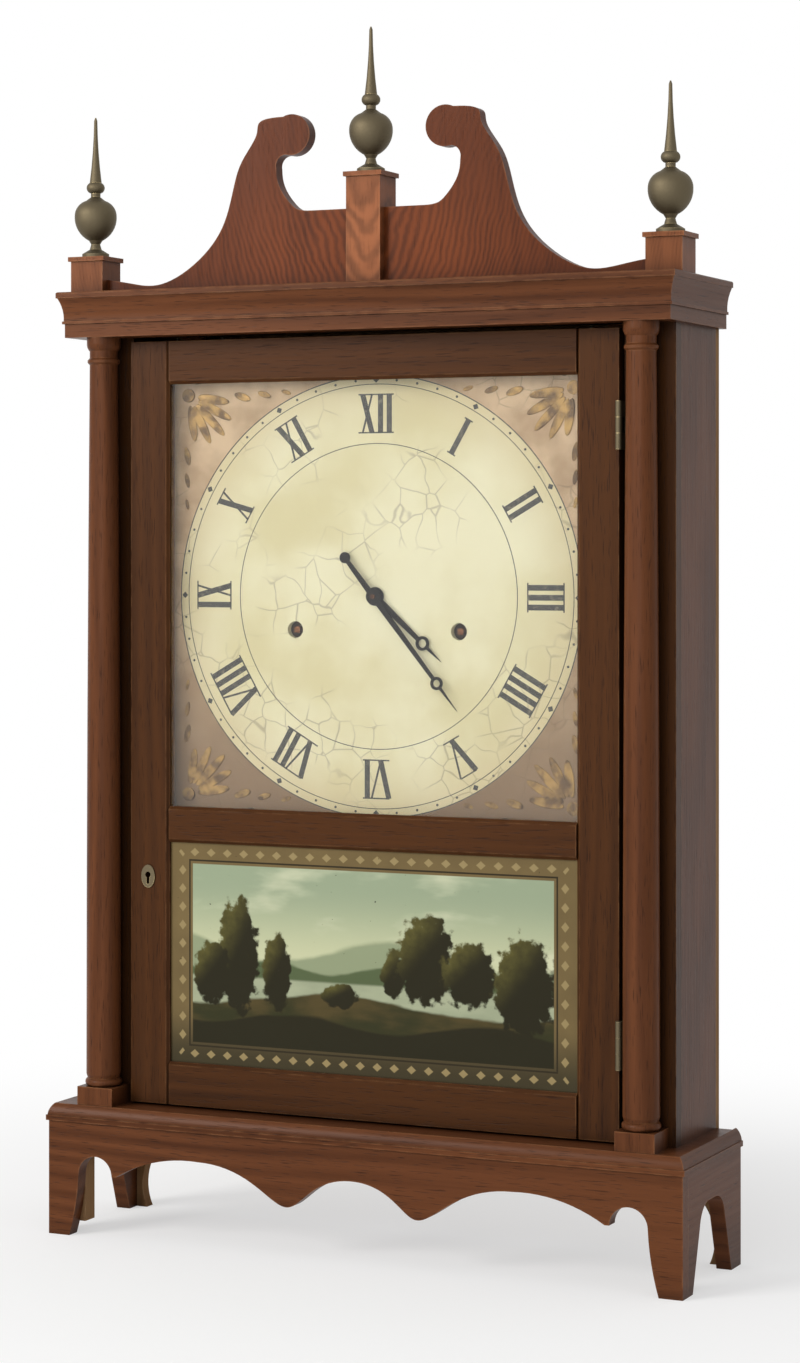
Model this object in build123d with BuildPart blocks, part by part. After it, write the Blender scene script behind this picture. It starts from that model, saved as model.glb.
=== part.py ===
from build123d import *
from math import acos, atan2, cos, degrees, hypot, radians, sin
import os

os.makedirs("parts", exist_ok=True)

# A pillar and scroll shelf clock. Millimetres, +Z up, the front faces -Y,
# and the origin is on the floor under the middle of the clock.

# Base
base_depth = 110.0
shelf_top = 86.0
shelf_thick = 11.0
shelf_margin = 11.0
base_moulding_out = 5.0
apron_setback = 1.5
apron_thick = 10.0
foot_width = 22.5
foot_toe = 15.5
side_foot_width = 31.0
side_foot_toe = 18.0
block_size = 12.0
block_lift = 8.0
back_bracket_width = 34.0
back_bracket_thick = 8.0

# Case
case_width = 414.0
side_height = 516.0
side_thick = 10.0
back_thick = 6.0
top_thick = 8.0
stile_thick = 10.0
cornice_height = 30.0
cornice_lap = 10.0
cornice_out = 9.5
cornice_foot = 5.0
cornice_shelf = 30.0

# Pillars
pillar_inset = 18.0
plinth_wide = 26.0
plinth_deep = 24.6
plinth_high = 12.0
shaft_foot_r = 11.5
shaft_neck_r = 9.3
ring_r = 12.2
capital_r = 11.2

# Door
door_thick = 14.0
door_proud = 6.0
door_width = 344.0
door_gap = 1.5
door_head_gap = 3.0
door_stile = 28.3
top_rail = 28.2
bottom_rail = 28.0
middle_rail = 23.6
tablet_opening = 144.3
glass_thick = 2.0
glass_setback = 3.5
rebate = 5.0
sight_chamfer = 2.0
fit = 0.3

# Hinges and lock
hinge_leaf = 1.0
hinge_height = 30.0
knuckle_r = 2.2
pin_r = 1.1
hinge_inset = 60.0
lock_height = 32.0
lock_width = 20.0
lock_thick = 5.0
lock_drop = 22.0
bolt_height = 9.0
bolt_thick = 2.4
bolt_throw = 6.0
key_r = 2.0
key_slot = 6.0
escutcheon_r = 5.0
escutcheon_thick = 0.8

# Pediment
scroll_thick = 9.0
scroll_setback = 23.5
neck_rise = 110.0
plinth_size = 24.0
corner_plinth_high = 24.5
centre_plinth_high = 71.5
plinth_cap = 3.0
plinth_cap_out = 1.5
finial_height = 93.5
finial_r = 14.0

# Dial and hands
dial_side_lap = 6.3
dial_top_lap = 7.3
dial_thick = 5.0
door_to_dial = 1.5
centre_hole_r = 5.0
winding_hole_r = 5.5
hour_angle = 131.75
minute_angle = 141.0
hour_hand_long = 62.0
minute_hand_long = 93.0
minute_tail = 32.0
hand_thick = 1.0
hand_gap = 2.5
pin_head_r = 3.2
dial_rail_high = 16.0
dial_rail_thick = 7.0

# Movement
rail_thick = 8.0
rail_half = 86.0
rail_over_centre = 48.0
groove = 3.0
plate_thick = 5.0
plate_gap = 32.0
plate_below = 52.0
plate_above = 100.0
dial_to_plate = 11.5
post_r = 5.0
arbor_r = 3.0
pivot_r = 1.2
pivot_fit = 0.05
great_module = 1.05
centre_module = 0.85
third_module = 0.8
strike_module = 0.75
second_angle = -10.6
great_angle = -30.9
third_angle = 54.2
escape_angle = 107.4
warning_angle = 95.0
fly_angle = 110.0
escape_teeth = 42
escape_r = 22.0
verge_rise = 28.0
pendulum_rise = 36.0
pendulum_long = 285.0
rod_r = 1.0
bob_r = 22.0
bob_thick = 12.0
fork_drop = 43.0
drum_r = 14.0
drum_flange_r = 18.0
drum_long = 16.0
cord_r = 0.9
pulley_r = 13.4
pulley_wide = 5.0
weight_wide = 44.0
weight_deep = 36.0
weight_high = 150.0
weight_floor_gap = 6.0
weight_side_gap = 8.5
hook_high = 10.0
bell_r = 24.0
bell_high = 24.0
bell_wall = 2.5
bell_rise = 114.0
minute_module = 0.8
hour_module = 1.0
motion_angle = 225.0

# Heights that follow
side_top = shelf_top + side_height
cornice_bottom = side_top - cornice_lap
cornice_top = cornice_bottom + cornice_height
door_bottom = shelf_top + door_gap
door_top = cornice_bottom - door_head_gap
tablet_bottom = door_bottom + bottom_rail
tablet_top = tablet_bottom + tablet_opening
opening_bottom = tablet_top + middle_rail
opening_top = door_top - top_rail
dial_z = (opening_bottom + opening_top) / 2

# Places across the clock that follow
case_half = case_width / 2
inside_half = case_half - side_thick
shelf_half = case_half + shelf_margin
apron_half = shelf_half + base_moulding_out - apron_setback
door_half = door_width / 2
sight_half = door_half - door_stile
stile_inner = door_half + door_gap
pillar_x = case_half - pillar_inset
dial_half = sight_half + dial_side_lap
weight_x = inside_half - weight_side_gap - weight_wide / 2
pulley_x = weight_x - pulley_r

# Depths that follow, front is -Y
back_y = base_depth / 2
inside_back = back_y - back_thick
base_front = -base_depth / 2
shelf_front = base_front + base_moulding_out
apron_front_y = base_front + apron_setback
pillar_y = shelf_front + 0.2 + plinth_deep / 2
stile_front = pillar_y + plinth_deep / 2 + 0.2
stile_back = stile_front + stile_thick
door_front = stile_front - door_proud
door_back = door_front + door_thick
cornice_face = base_front + apron_setback + cornice_out
shelf_back = cornice_face - cornice_foot + cornice_shelf
glass_front = door_front + glass_setback
glass_back = glass_front + glass_thick
dial_front = door_back + door_to_dial
dial_back = dial_front + dial_thick
plate_front = dial_back + dial_to_plate
plate_back = plate_front + plate_thick
rear_plate_front = plate_back + plate_gap
rear_plate_back = rear_plate_front + plate_thick
scroll_front = base_front + scroll_setback + apron_setback
scroll_back = scroll_front + scroll_thick
plinth_set_back = 1.5
plinth_y = (scroll_front + scroll_back) / 2 + plinth_set_back


def upright(y, x=0.0, z=0.0):
    """A plane that faces the front, at depth y, with its origin at (x, z)."""
    return Plane(origin=(x, y, z), x_dir=(1, 0, 0), z_dir=(0, -1, 0))


def span(x0, x1, y0, y1):
    """A rectangle between two corners of the sketch."""
    with Locations(((x0 + x1) / 2, (y0 + y1) / 2)):
        Rectangle(abs(x1 - x0), abs(y1 - y0))


def polar(centre, radius, angle):
    """A point at an angle in degrees around a centre, in a flat sketch."""
    return (centre[0] + radius * cos(radians(angle)), centre[1] + radius * sin(radians(angle)))


# Base shelf: the board that the case and the pillars stand on

with BuildPart() as base_shelf:
    with BuildSketch(Plane.XY.offset(shelf_top - shelf_thick)):
        span(-shelf_half, shelf_half, shelf_front, inside_back)
    extrude(amount=shelf_thick)
base_shelf.part.label = "base_shelf"
export_step(base_shelf.part, "parts/base_shelf.step")

# Base moulding: a cove over a fillet, mitred round three sides of the shelf

base_fillet = 3.5
moulding_step = 0.8
moulding_lip = 0.6
with BuildPart() as base_moulding:
    with BuildLine():
        Polyline(
            (-shelf_half, back_y, 0),
            (-shelf_half, shelf_front, 0),
            (shelf_half, shelf_front, 0),
            (shelf_half, back_y, 0),
        )
    with BuildSketch(upright(back_y, -shelf_half)):
        with BuildLine():
            Polyline(
                (0, shelf_top),
                (0, shelf_top - shelf_thick),
                (-base_moulding_out, shelf_top - shelf_thick),
                (-base_moulding_out, shelf_top - shelf_thick + base_fillet),
                (-base_moulding_out + moulding_step, shelf_top - shelf_thick + base_fillet),
            )
            RadiusArc(
                (-base_moulding_out + moulding_step, shelf_top - shelf_thick + base_fillet),
                (-moulding_lip, shelf_top),
                shelf_thick,
            )
            Line((-moulding_lip, shelf_top), (0, shelf_top))
        make_face()
    sweep(transition=Transition.RIGHT)
base_moulding.part.label = "base_moulding"
export_step(base_moulding.part, "parts/base_moulding.step")

# Front apron: its lower edge has a centre arch, two lobes, long hollows and small
# arches beside the feet

apron_top = shelf_top - shelf_thick
foot_in = apron_half - foot_width
toe_in = apron_half - foot_toe
centre_arch = 53.0
lobe_x = 43.0
lobe_z = 33.0
hollow_x = 110.0
hollow_z = 56.0
cusp_x = 171.0
cusp_z = 41.0
hollow_run = 36.0
hollow_drop = 4.0
cusp_step = 3.0
small_arch_run = 13.0
foot_curve = 2.2

with BuildPart() as apron_front:
    with BuildSketch(upright(apron_front_y + apron_thick)) as scrolled:
        with BuildLine():
            Spline(
                (0, centre_arch),
                (lobe_x, lobe_z),
                (hollow_x, hollow_z),
                tangents=((1, 0), (1, 0)),
            )
            ThreePointArc(
                (hollow_x, hollow_z),
                (hollow_x + hollow_run, hollow_z - hollow_drop),
                (cusp_x, cusp_z),
            )
            Line((cusp_x, cusp_z), (cusp_x + cusp_step, cusp_z))
            ThreePointArc(
                (cusp_x + cusp_step, cusp_z),
                (cusp_x + small_arch_run, centre_arch),
                (foot_in, cusp_z),
            )
            ThreePointArc((foot_in, cusp_z), (foot_in + foot_curve, cusp_z / 2), (toe_in, 0))
            Polyline(
                (toe_in, 0),
                (apron_half, 0),
                (apron_half, apron_top),
                (0, apron_top),
                (0, centre_arch),
            )
        make_face()
        mirror(about=Plane.YZ)
    extrude(amount=apron_thick)
apron_front.part.label = "apron_front"
export_step(apron_front.part, "parts/apron_front.step")

# Side aprons: butted behind the front apron, each with a front and a back foot

side_arch = 52.0
side_cusp = 38.0
arch_run = 16.0
arch_shoulder = 7.04
arch_drop = 3.0
joint_y = apron_front_y + apron_thick
side_foot_in = apron_front_y + side_foot_width
side_toe_in = apron_front_y + side_foot_toe
rear_foot_in = back_y - side_foot_width
rear_toe_in = back_y - side_foot_toe
with BuildPart() as side_aprons:
    for low_x in (-apron_half, apron_half - apron_thick):
        with BuildSketch(Plane(origin=(low_x, 0, 0), x_dir=(0, 1, 0), z_dir=(1, 0, 0))):
            with BuildLine():
                Polyline(
                    (rear_foot_in, side_cusp),
                    (rear_toe_in, 0),
                    (back_y, 0),
                    (back_y, apron_top),
                    (joint_y, apron_top),
                    (joint_y, 0),
                    (side_toe_in, 0),
                    (side_foot_in, side_cusp),
                )
                ThreePointArc(
                    (side_foot_in, side_cusp),
                    (side_foot_in + arch_shoulder, side_arch - arch_drop),
                    (side_foot_in + arch_run, side_arch),
                )
                Line((side_foot_in + arch_run, side_arch), (rear_foot_in - arch_run, side_arch))
                ThreePointArc(
                    (rear_foot_in - arch_run, side_arch),
                    (rear_foot_in - arch_shoulder, side_arch - arch_drop),
                    (rear_foot_in, side_cusp),
                )
            make_face()
        extrude(amount=apron_thick)
side_aprons.part.label = "side_aprons"
export_step(side_aprons.part, "parts/side_aprons.step")

# Foot blocks: brackets that stiffen the back feet, and glue blocks in the front corners

bracket_out = apron_half - apron_thick
bracket_in = bracket_out - back_bracket_width
bracket_toe_width = 8.0
bracket_curve = 4.0
bracket_toe = bracket_out - bracket_toe_width
with BuildPart() as foot_blocks:
    with BuildSketch(upright(back_y)):
        with BuildLine():
            Line((bracket_in, apron_top), (bracket_in, side_arch))
            bracket_bend = (bracket_toe - bracket_curve, side_cusp)
            ThreePointArc((bracket_in, side_arch), bracket_bend, (bracket_toe, 0))
            Polyline(
                (bracket_toe, 0),
                (bracket_out, 0),
                (bracket_out, apron_top),
                (bracket_in, apron_top),
            )
        make_face()
        mirror(about=Plane.YZ)
    extrude(amount=back_bracket_thick)
    with BuildSketch(Plane.XY.offset(block_lift)):
        for side in (-1, 1):
            span(side * (bracket_out - block_size), side * bracket_out, joint_y, joint_y + block_size)
    extrude(amount=apron_top - block_lift)
foot_blocks.part.label = "foot_blocks"
export_step(foot_blocks.part, "parts/foot_blocks.step")

# Case boards

with BuildPart() as case_sides:
    with BuildSketch(Plane.XY.offset(shelf_top)):
        for side in (-1, 1):
            span(side * inside_half, side * case_half, stile_back, inside_back)
    extrude(amount=side_height)
case_sides.part.label = "case_sides"
export_step(case_sides.part, "parts/case_sides.step")

with BuildPart() as backboard:
    with BuildSketch(Plane.XY.offset(shelf_top - shelf_thick)):
        span(-case_half, case_half, inside_back, back_y)
    extrude(amount=shelf_thick + side_height + top_thick)
backboard.part.label = "backboard"
export_step(backboard.part, "parts/backboard.step")

# Front stiles: they frame the door, and the left one takes the lock's bolt

lock_z = tablet_top - lock_drop
mortise_fit = 1.0
bolt_y = door_back - lock_thick / 2
hinge_places = (door_bottom + hinge_inset, door_top - hinge_inset)
with BuildPart() as front_stiles:
    with BuildSketch(Plane.XY.offset(shelf_top)):
        for side in (-1, 1):
            span(side * stile_inner, side * case_half, stile_front, stile_back)
    extrude(amount=cornice_bottom - shelf_top)
    with Locations((-stile_inner - bolt_throw / 2, bolt_y, lock_z)):
        Box(bolt_throw, bolt_thick + 2 * mortise_fit, bolt_height + 2 * mortise_fit, mode=Mode.SUBTRACT)
    for hinge_z in hinge_places:
        with Locations((stile_inner + hinge_leaf / 2, (stile_front + stile_back) / 2, hinge_z)):
            Box(hinge_leaf, stile_thick, hinge_height, mode=Mode.SUBTRACT)
front_stiles.part.label = "front_stiles"
export_step(front_stiles.part, "parts/front_stiles.step")

# Cornice: a fascia, a bead and a cove, mitred round three sides, with the ledge
# that covers the pillars and carries the pediment

cornice_fascia = 9.0
cornice_fillet = 4.0
bead_high = 1.8
bead_out = 1.4
cove_start = 0.6
cove_step = 0.8
edge_bevel = 0.7
with BuildPart() as cornice:
    with BuildLine():
        Polyline(
            (-case_half, back_y, 0),
            (-case_half, cornice_face, 0),
            (case_half, cornice_face, 0),
            (case_half, back_y, 0),
        )
    with BuildSketch(upright(back_y, -case_half)):
        with BuildLine():
            cove_foot = (-cornice_foot - cove_start, cornice_bottom + cornice_fascia + bead_high)
            cove_head = (-cornice_out + cove_step, cornice_top - cornice_fillet)
            Polyline(
                cove_foot,
                (-cornice_foot - bead_out, cornice_bottom + cornice_fascia + bead_high),
                (-cornice_foot - bead_out, cornice_bottom + cornice_fascia),
                (-cornice_foot, cornice_bottom + cornice_fascia),
                (-cornice_foot, cornice_bottom),
                (0, cornice_bottom),
                (0, cornice_top),
                (-cornice_out + edge_bevel, cornice_top),
                (-cornice_out, cornice_top - edge_bevel),
                (-cornice_out, cornice_top - cornice_fillet),
                cove_head,
            )
            RadiusArc(cove_head, cove_foot, cornice_height)
        make_face()
    sweep(transition=Transition.RIGHT)
    with BuildSketch(Plane.XY.offset(cornice_bottom)):
        span(-case_half, case_half, cornice_face, shelf_back)
    extrude(amount=cornice_height)
cornice.part.label = "cornice"
export_step(cornice.part, "parts/cornice.step")

# Top board, with a slot for each pulley and a hole for its axle

axle_r = 1.5
axle_long = 18.0
axle_fit = 0.02
slot_gap = 1.0
cord_from_plate = 17.0
cord_y = plate_back + cord_from_plate
axle_z = side_top + top_thick / 2
slot_inner_gap = 6.0
slot_outer_gap = 3.5
slot_in = pulley_x - pulley_r - slot_inner_gap
slot_out = weight_x + slot_outer_gap
with BuildPart() as case_top:
    with BuildSketch(Plane.XY.offset(side_top)):
        span(-case_half, case_half, shelf_back, inside_back)
        for side in (-1, 1):
            with Locations((side * (slot_in + slot_out) / 2, cord_y)):
                Rectangle(slot_out - slot_in, pulley_wide + 2 * slot_gap, mode=Mode.SUBTRACT)
    extrude(amount=top_thick)
    with BuildSketch(upright(cord_y + axle_long / 2)):
        with Locations((-pulley_x, axle_z), (pulley_x, axle_z)):
            Circle(axle_r + axle_fit)
    extrude(amount=axle_long, mode=Mode.SUBTRACT)
case_top.part.label = "case_top"
export_step(case_top.part, "parts/case_top.step")

# Pulleys

axle_back = cord_y + axle_long / 2
flange = 1.2
groove_edge = 0.8
for side, train in ((1, "time"), (-1, "strike")):
    pulley_plane = Plane(origin=(side * pulley_x, cord_y, axle_z), x_dir=(1, 0, 0), z_dir=(0, 0, 1))
    with BuildPart() as pulley:
        with BuildSketch(pulley_plane):
            with BuildLine():
                Polyline(
                    (axle_r + pivot_fit, -pulley_wide / 2),
                    (pulley_r + flange, -pulley_wide / 2),
                    (pulley_r + flange, -pulley_wide / 2 + groove_edge),
                    (pulley_r - cord_r - fit, -cord_r),
                    (pulley_r - cord_r - fit, cord_r),
                    (pulley_r + flange, pulley_wide / 2 - groove_edge),
                    (pulley_r + flange, pulley_wide / 2),
                    (axle_r + pivot_fit, pulley_wide / 2),
                    close=True,
                )
            make_face()
        revolve(axis=Axis(pulley_plane.origin, (0, 1, 0)))
    pulley.part.label = f"pulley_{train}"
    export_step(pulley.part, f"parts/pulley_{train}.step")

# Pillars: square plinth, base rings, tapered shaft with a slight swell, and capital

ring_z = shelf_top + plinth_high
ring_round = 1.6
ring_high = 5.2
ring_top = ring_z + 8.0
neck_z = cornice_bottom - 18.0
shaft_swell = 0.5
collar_out = 1.4
collar_step = 1.5
capital_z = neck_z + 9.0
abacus_high = 4.5
for side, hand in ((-1, "left"), (1, "right")):
    with BuildPart() as pillar:
        with BuildSketch(Plane.XY.offset(shelf_top)):
            with Locations((side * pillar_x, pillar_y)):
                Rectangle(plinth_wide, plinth_deep)
        extrude(amount=plinth_high)
        with BuildSketch(upright(pillar_y, side * pillar_x)):
            with BuildLine():
                Line((0, ring_z), (ring_r - ring_round, ring_z))
                ThreePointArc(
                    (ring_r - ring_round, ring_z),
                    (ring_r, ring_z + ring_high / 2),
                    (ring_r - ring_round, ring_z + ring_high),
                )
                Line((ring_r - ring_round, ring_z + ring_high), (shaft_foot_r, ring_top))
                ThreePointArc(
                    (shaft_foot_r, ring_top),
                    ((shaft_foot_r + shaft_neck_r) / 2 + shaft_swell, (ring_z + neck_z) / 2),
                    (shaft_neck_r, neck_z),
                )
                Polyline(
                    (shaft_neck_r, neck_z),
                    (shaft_neck_r + collar_out, neck_z + collar_step),
                    (shaft_neck_r + collar_out, neck_z + 2 * collar_step),
                    (shaft_neck_r, neck_z + 3 * collar_step),
                    (shaft_neck_r, capital_z),
                )
                ThreePointArc(
                    (shaft_neck_r, capital_z),
                    (capital_r - shaft_swell, capital_z + 2.0),
                    (capital_r, cornice_bottom - abacus_high),
                )
                Polyline(
                    (capital_r, cornice_bottom - abacus_high),
                    (capital_r, cornice_bottom),
                    (0, cornice_bottom),
                    (0, ring_z),
                )
            make_face()
        revolve(axis=Axis((side * pillar_x, pillar_y, 0), (0, 0, 1)))
    pillar.part.label = f"pillar_{hand}"
    export_step(pillar.part, f"parts/pillar_{hand}.step")

# Scroll board: two swan necks that curl in beside a low centre

plinth_half = plinth_size / 2
corner_x = case_half + cornice_out - plinth_cap_out - plinth_half
corner_in = corner_x - plinth_half - 0.1
curl_r = 12.5
tail_z = cornice_top + 4.6
tail_lift = 4.4
tail_x = 151.0
curl_x = 53.5
curl_z = cornice_top + neck_rise - curl_r
curl_lean = 6.5
curl_foot = 2.5
neck_in = 63.5
saddle_z = cornice_top + 48.5
saddle_in = 24.0
neck_bend = 8.0

# How far in from the tail, and how high over the cornice, the outer edge of the neck runs
neck_edge = ((28.0, 18.6), (47.0, 41.0), (54.5, 64.0), (61.0, 82.5), (72.0, 100.5))
with BuildPart() as scroll_board:
    with BuildSketch(upright(scroll_back)):
        with BuildLine():
            Polyline(
                (0, saddle_z),
                (0, cornice_top),
                (corner_in, cornice_top),
                (corner_in, tail_z + tail_lift),
            )
            Spline(
                (corner_in, tail_z + tail_lift),
                (tail_x, tail_z),
                *[(tail_x - inward, cornice_top + rise) for inward, rise in neck_edge],
                (curl_x + curl_lean, curl_z + curl_r),
                tangents=((-1, -0.12), (-1, 0)),
            )
            ThreePointArc(
                (curl_x + curl_lean, curl_z + curl_r),
                (curl_x - curl_r, curl_z),
                (curl_x + curl_foot, curl_z - curl_r),
            )
            ThreePointArc(
                (curl_x + curl_foot, curl_z - curl_r),
                (neck_in - 0.5, curl_z - curl_r - 1.5),
                (neck_in + 1.5, curl_z - curl_r - neck_bend),
            )
            Spline(
                (neck_in + 1.5, curl_z - curl_r - neck_bend),
                (neck_in - 0.6, saddle_z + 17),
                (neck_in - 9.5, saddle_z + 4.5),
                (neck_in - saddle_in, saddle_z),
                tangents=((0, -1), (-1, 0)),
            )
            Line((neck_in - saddle_in, saddle_z), (0, saddle_z))
        make_face()
        mirror(about=Plane.YZ)
    extrude(amount=scroll_thick)
scroll_board.part.label = "scroll_board"
export_step(scroll_board.part, "parts/scroll_board.step")

# Plinths: square blocks with a moulded cap; the centre one is halved over the board

centre_proud = 6.0
centre_front = scroll_front - centre_proud
with BuildPart() as plinths:
    with BuildSketch(Plane.XY.offset(cornice_top)):
        with Locations((-corner_x, plinth_y), (corner_x, plinth_y)):
            Rectangle(plinth_size, plinth_size)
    extrude(amount=corner_plinth_high - plinth_cap)
    with BuildSketch(Plane.XY.offset(cornice_top + corner_plinth_high - plinth_cap)):
        with Locations((-corner_x, plinth_y), (corner_x, plinth_y)):
            Rectangle(plinth_size + 2 * plinth_cap_out, plinth_size + 2 * plinth_cap_out)
    extrude(amount=plinth_cap)
    with BuildSketch(Plane.XY.offset(cornice_top)):
        span(-plinth_half, plinth_half, centre_front, scroll_front)
    extrude(amount=saddle_z - cornice_top)
    with BuildSketch(Plane.XY.offset(saddle_z)):
        span(-plinth_half, plinth_half, centre_front, centre_front + plinth_size)
    extrude(amount=cornice_top + centre_plinth_high - plinth_cap - saddle_z)
    with BuildSketch(Plane.XY.offset(cornice_top + centre_plinth_high - plinth_cap)):
        span(
            -plinth_half - plinth_cap_out,
            plinth_half + plinth_cap_out,
            centre_front - plinth_cap_out,
            centre_front + plinth_size + plinth_cap_out,
        )
    extrude(amount=plinth_cap)
plinths.part.label = "plinths"
export_step(plinths.part, "parts/plinths.step")

# Finials: brass urns with a spire, all three alike

finial_places = (
    (-corner_x, plinth_y, cornice_top + corner_plinth_high),
    (0, centre_front + plinth_half, cornice_top + centre_plinth_high),
    (corner_x, plinth_y, cornice_top + corner_plinth_high),
)
spire_z = 50.0
with BuildPart() as finials:
    for finial_x, finial_y, foot_z in finial_places:
        with BuildSketch(upright(finial_y, finial_x, foot_z)):
            with BuildLine():
                Polyline((0, 0), (9, 0), (9, 2.5), (4, 5.5), (3, 9), (4.5, 11.5))
                ThreePointArc((4.5, 11.5), (11.8, 18.5), (finial_r, 28))
                ThreePointArc((finial_r, 28), (12, 34), (6.5, 38))
                Polyline((6.5, 38), (3.2, 40.5), (3.2, 43))
                ThreePointArc((3.2, 43), (6, 46), (4, spire_z))
                ThreePointArc((4, spire_z), (2.3, 66), (1.1, finial_height - 2))
                Polyline((1.1, finial_height - 2), (0.4, finial_height), (0, finial_height), (0, 0))
            make_face()
        revolve(axis=Axis((finial_x, finial_y, 0), (0, 0, 1)))
finials.part.label = "finials"
export_step(finials.part, "parts/finials.step")

# Door frame: two stiles and three rails, rebated behind for the glass, with a small
# chamfer round each sight edge


def frame_section(sight, outer, chamfered_both=False):
    """Cross-section of a frame member, from its sight edge to its outer edge, with depth as y."""
    way = 1 if outer > sight else -1
    points = [
        (sight + way * sight_chamfer, door_front),
        (sight, door_front + sight_chamfer),
        (sight, glass_front),
        (sight + way * rebate, glass_front),
        (sight + way * rebate, door_back),
    ]
    if chamfered_both:
        points += [
            (outer - way * rebate, door_back),
            (outer - way * rebate, glass_front),
            (outer, glass_front),
            (outer, door_front + sight_chamfer),
            (outer - way * sight_chamfer, door_front),
        ]
    else:
        points += [(outer, door_back), (outer, door_front)]
    return points


keyhole_x = -(door_half + sight_half) / 2 - 1.0
for side, hand in ((-1, "left"), (1, "right")):
    with BuildPart() as door_stile_piece:
        with BuildSketch(Plane.XY.offset(door_bottom)):
            Polygon(*frame_section(side * sight_half, side * door_half), align=None)
        extrude(amount=door_top - door_bottom)
        if side < 0:
            with Locations((-(door_half - lock_width / 2), door_back - lock_thick / 2, lock_z)):
                Box(lock_width, lock_thick, lock_height, mode=Mode.SUBTRACT)
            with BuildSketch(upright(door_back - lock_thick)):
                with Locations((keyhole_x, lock_z)):
                    Circle(key_r)
                with Locations((keyhole_x, lock_z - key_slot / 2)):
                    Rectangle(key_r, key_slot)
            extrude(amount=door_thick, mode=Mode.SUBTRACT)
        else:
            for hinge_z in hinge_places:
                with Locations((door_half - hinge_leaf / 2, (door_front + door_back) / 2, hinge_z)):
                    Box(hinge_leaf, door_thick, hinge_height, mode=Mode.SUBTRACT)
    door_stile_piece.part.label = f"door_stile_{hand}"
    export_step(door_stile_piece.part, f"parts/door_stile_{hand}.step")

rails = (
    (opening_top, door_top, False),
    (tablet_top, opening_bottom, True),
    (tablet_bottom, door_bottom, False),
)
across = Plane(origin=(-sight_half, 0, 0), x_dir=(0, 0, 1), z_dir=(-1, 0, 0))
with BuildPart() as door_rails:
    for sight_z, outer_z, both in rails:
        with BuildSketch(across):
            Polygon(*frame_section(sight_z, outer_z, both), align=None)
        extrude(amount=-2 * sight_half)
        stub_half = sight_half + rebate
        stub_low = min(sight_z, outer_z) + (rebate if both or sight_z < outer_z else 0)
        stub_high = max(sight_z, outer_z) - (rebate if both or sight_z > outer_z else 0)
        with BuildSketch(Plane.XY.offset(stub_low)):
            for side in (-1, 1):
                span(side * sight_half, side * stub_half, glass_front, door_back)
        extrude(amount=stub_high - stub_low)
door_rails.part.label = "door_rails"
export_step(door_rails.part, "parts/door_rails.step")

# Panes: clear glass over the dial and the painted tablet below, held by beads

pane_half = sight_half + rebate - fit
for name, low, high in (
    ("door_glass", opening_bottom, opening_top),
    ("door_tablet", tablet_bottom, tablet_top),
):
    with BuildPart() as pane:
        with BuildSketch(upright(glass_back)):
            span(-pane_half, pane_half, low - rebate + fit, high + rebate - fit)
        extrude(amount=glass_thick)
    pane.part.label = name
    export_step(pane.part, f"parts/{name}.step")

bead_thick = 4.0
bead_deep = 5.0
with BuildPart() as glazing_beads:
    with BuildSketch(upright(glass_back + bead_deep)):
        for low, high in ((opening_bottom, opening_top), (tablet_bottom, tablet_top)):
            outer_low = low - rebate + fit
            outer_high = high + rebate - fit
            with Locations((0, (outer_low + outer_high) / 2)):
                Rectangle(2 * pane_half, outer_high - outer_low)
                Rectangle(
                    2 * (pane_half - bead_thick),
                    outer_high - outer_low - 2 * bead_thick,
                    mode=Mode.SUBTRACT,
                )
    extrude(amount=bead_deep)
glazing_beads.part.label = "glazing_beads"
export_step(glazing_beads.part, "parts/glazing_beads.step")

# Lock: a box let into the back of the left stile, with a sliding bolt in its slot

bolt_long = lock_width - 4.0
lock_fit = 0.2
with BuildPart() as lock_case:
    with Locations((-(door_half - lock_width / 2), bolt_y, lock_z)):
        Box(lock_width - lock_fit, lock_thick, lock_height - lock_fit)
    with Locations((-(door_half - bolt_long / 2) - 0.5, bolt_y, lock_z)):
        Box(bolt_long + 1.0, bolt_thick + lock_fit, bolt_height + lock_fit, mode=Mode.SUBTRACT)
    with BuildSketch(upright(bolt_y)):
        with Locations((keyhole_x, lock_z)):
            Circle(key_r)
    extrude(amount=lock_thick, mode=Mode.SUBTRACT)
lock_case.part.label = "lock_case"
export_step(lock_case.part, "parts/lock_case.step")

with BuildPart() as lock_bolt:
    with Locations((-(door_half - bolt_long / 2) + 0.2, bolt_y, lock_z)):
        Box(bolt_long - 0.4, bolt_thick, bolt_height)
lock_bolt.part.label = "lock_bolt"
export_step(lock_bolt.part, "parts/lock_bolt.step")

with BuildPart() as escutcheon:
    with BuildSketch(upright(door_front)):
        with Locations((keyhole_x, lock_z - 1.0)):
            Ellipse(escutcheon_r, escutcheon_r + 2.5)
        with Locations((keyhole_x, lock_z)):
            Circle(key_r, mode=Mode.SUBTRACT)
        with Locations((keyhole_x, lock_z - key_slot / 2)):
            Rectangle(key_r, key_slot, mode=Mode.SUBTRACT)
    extrude(amount=escutcheon_thick)
escutcheon.part.label = "escutcheon"
export_step(escutcheon.part, "parts/escutcheon.step")

# Hinges: butts on the right, their knuckles in front of the door

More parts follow.
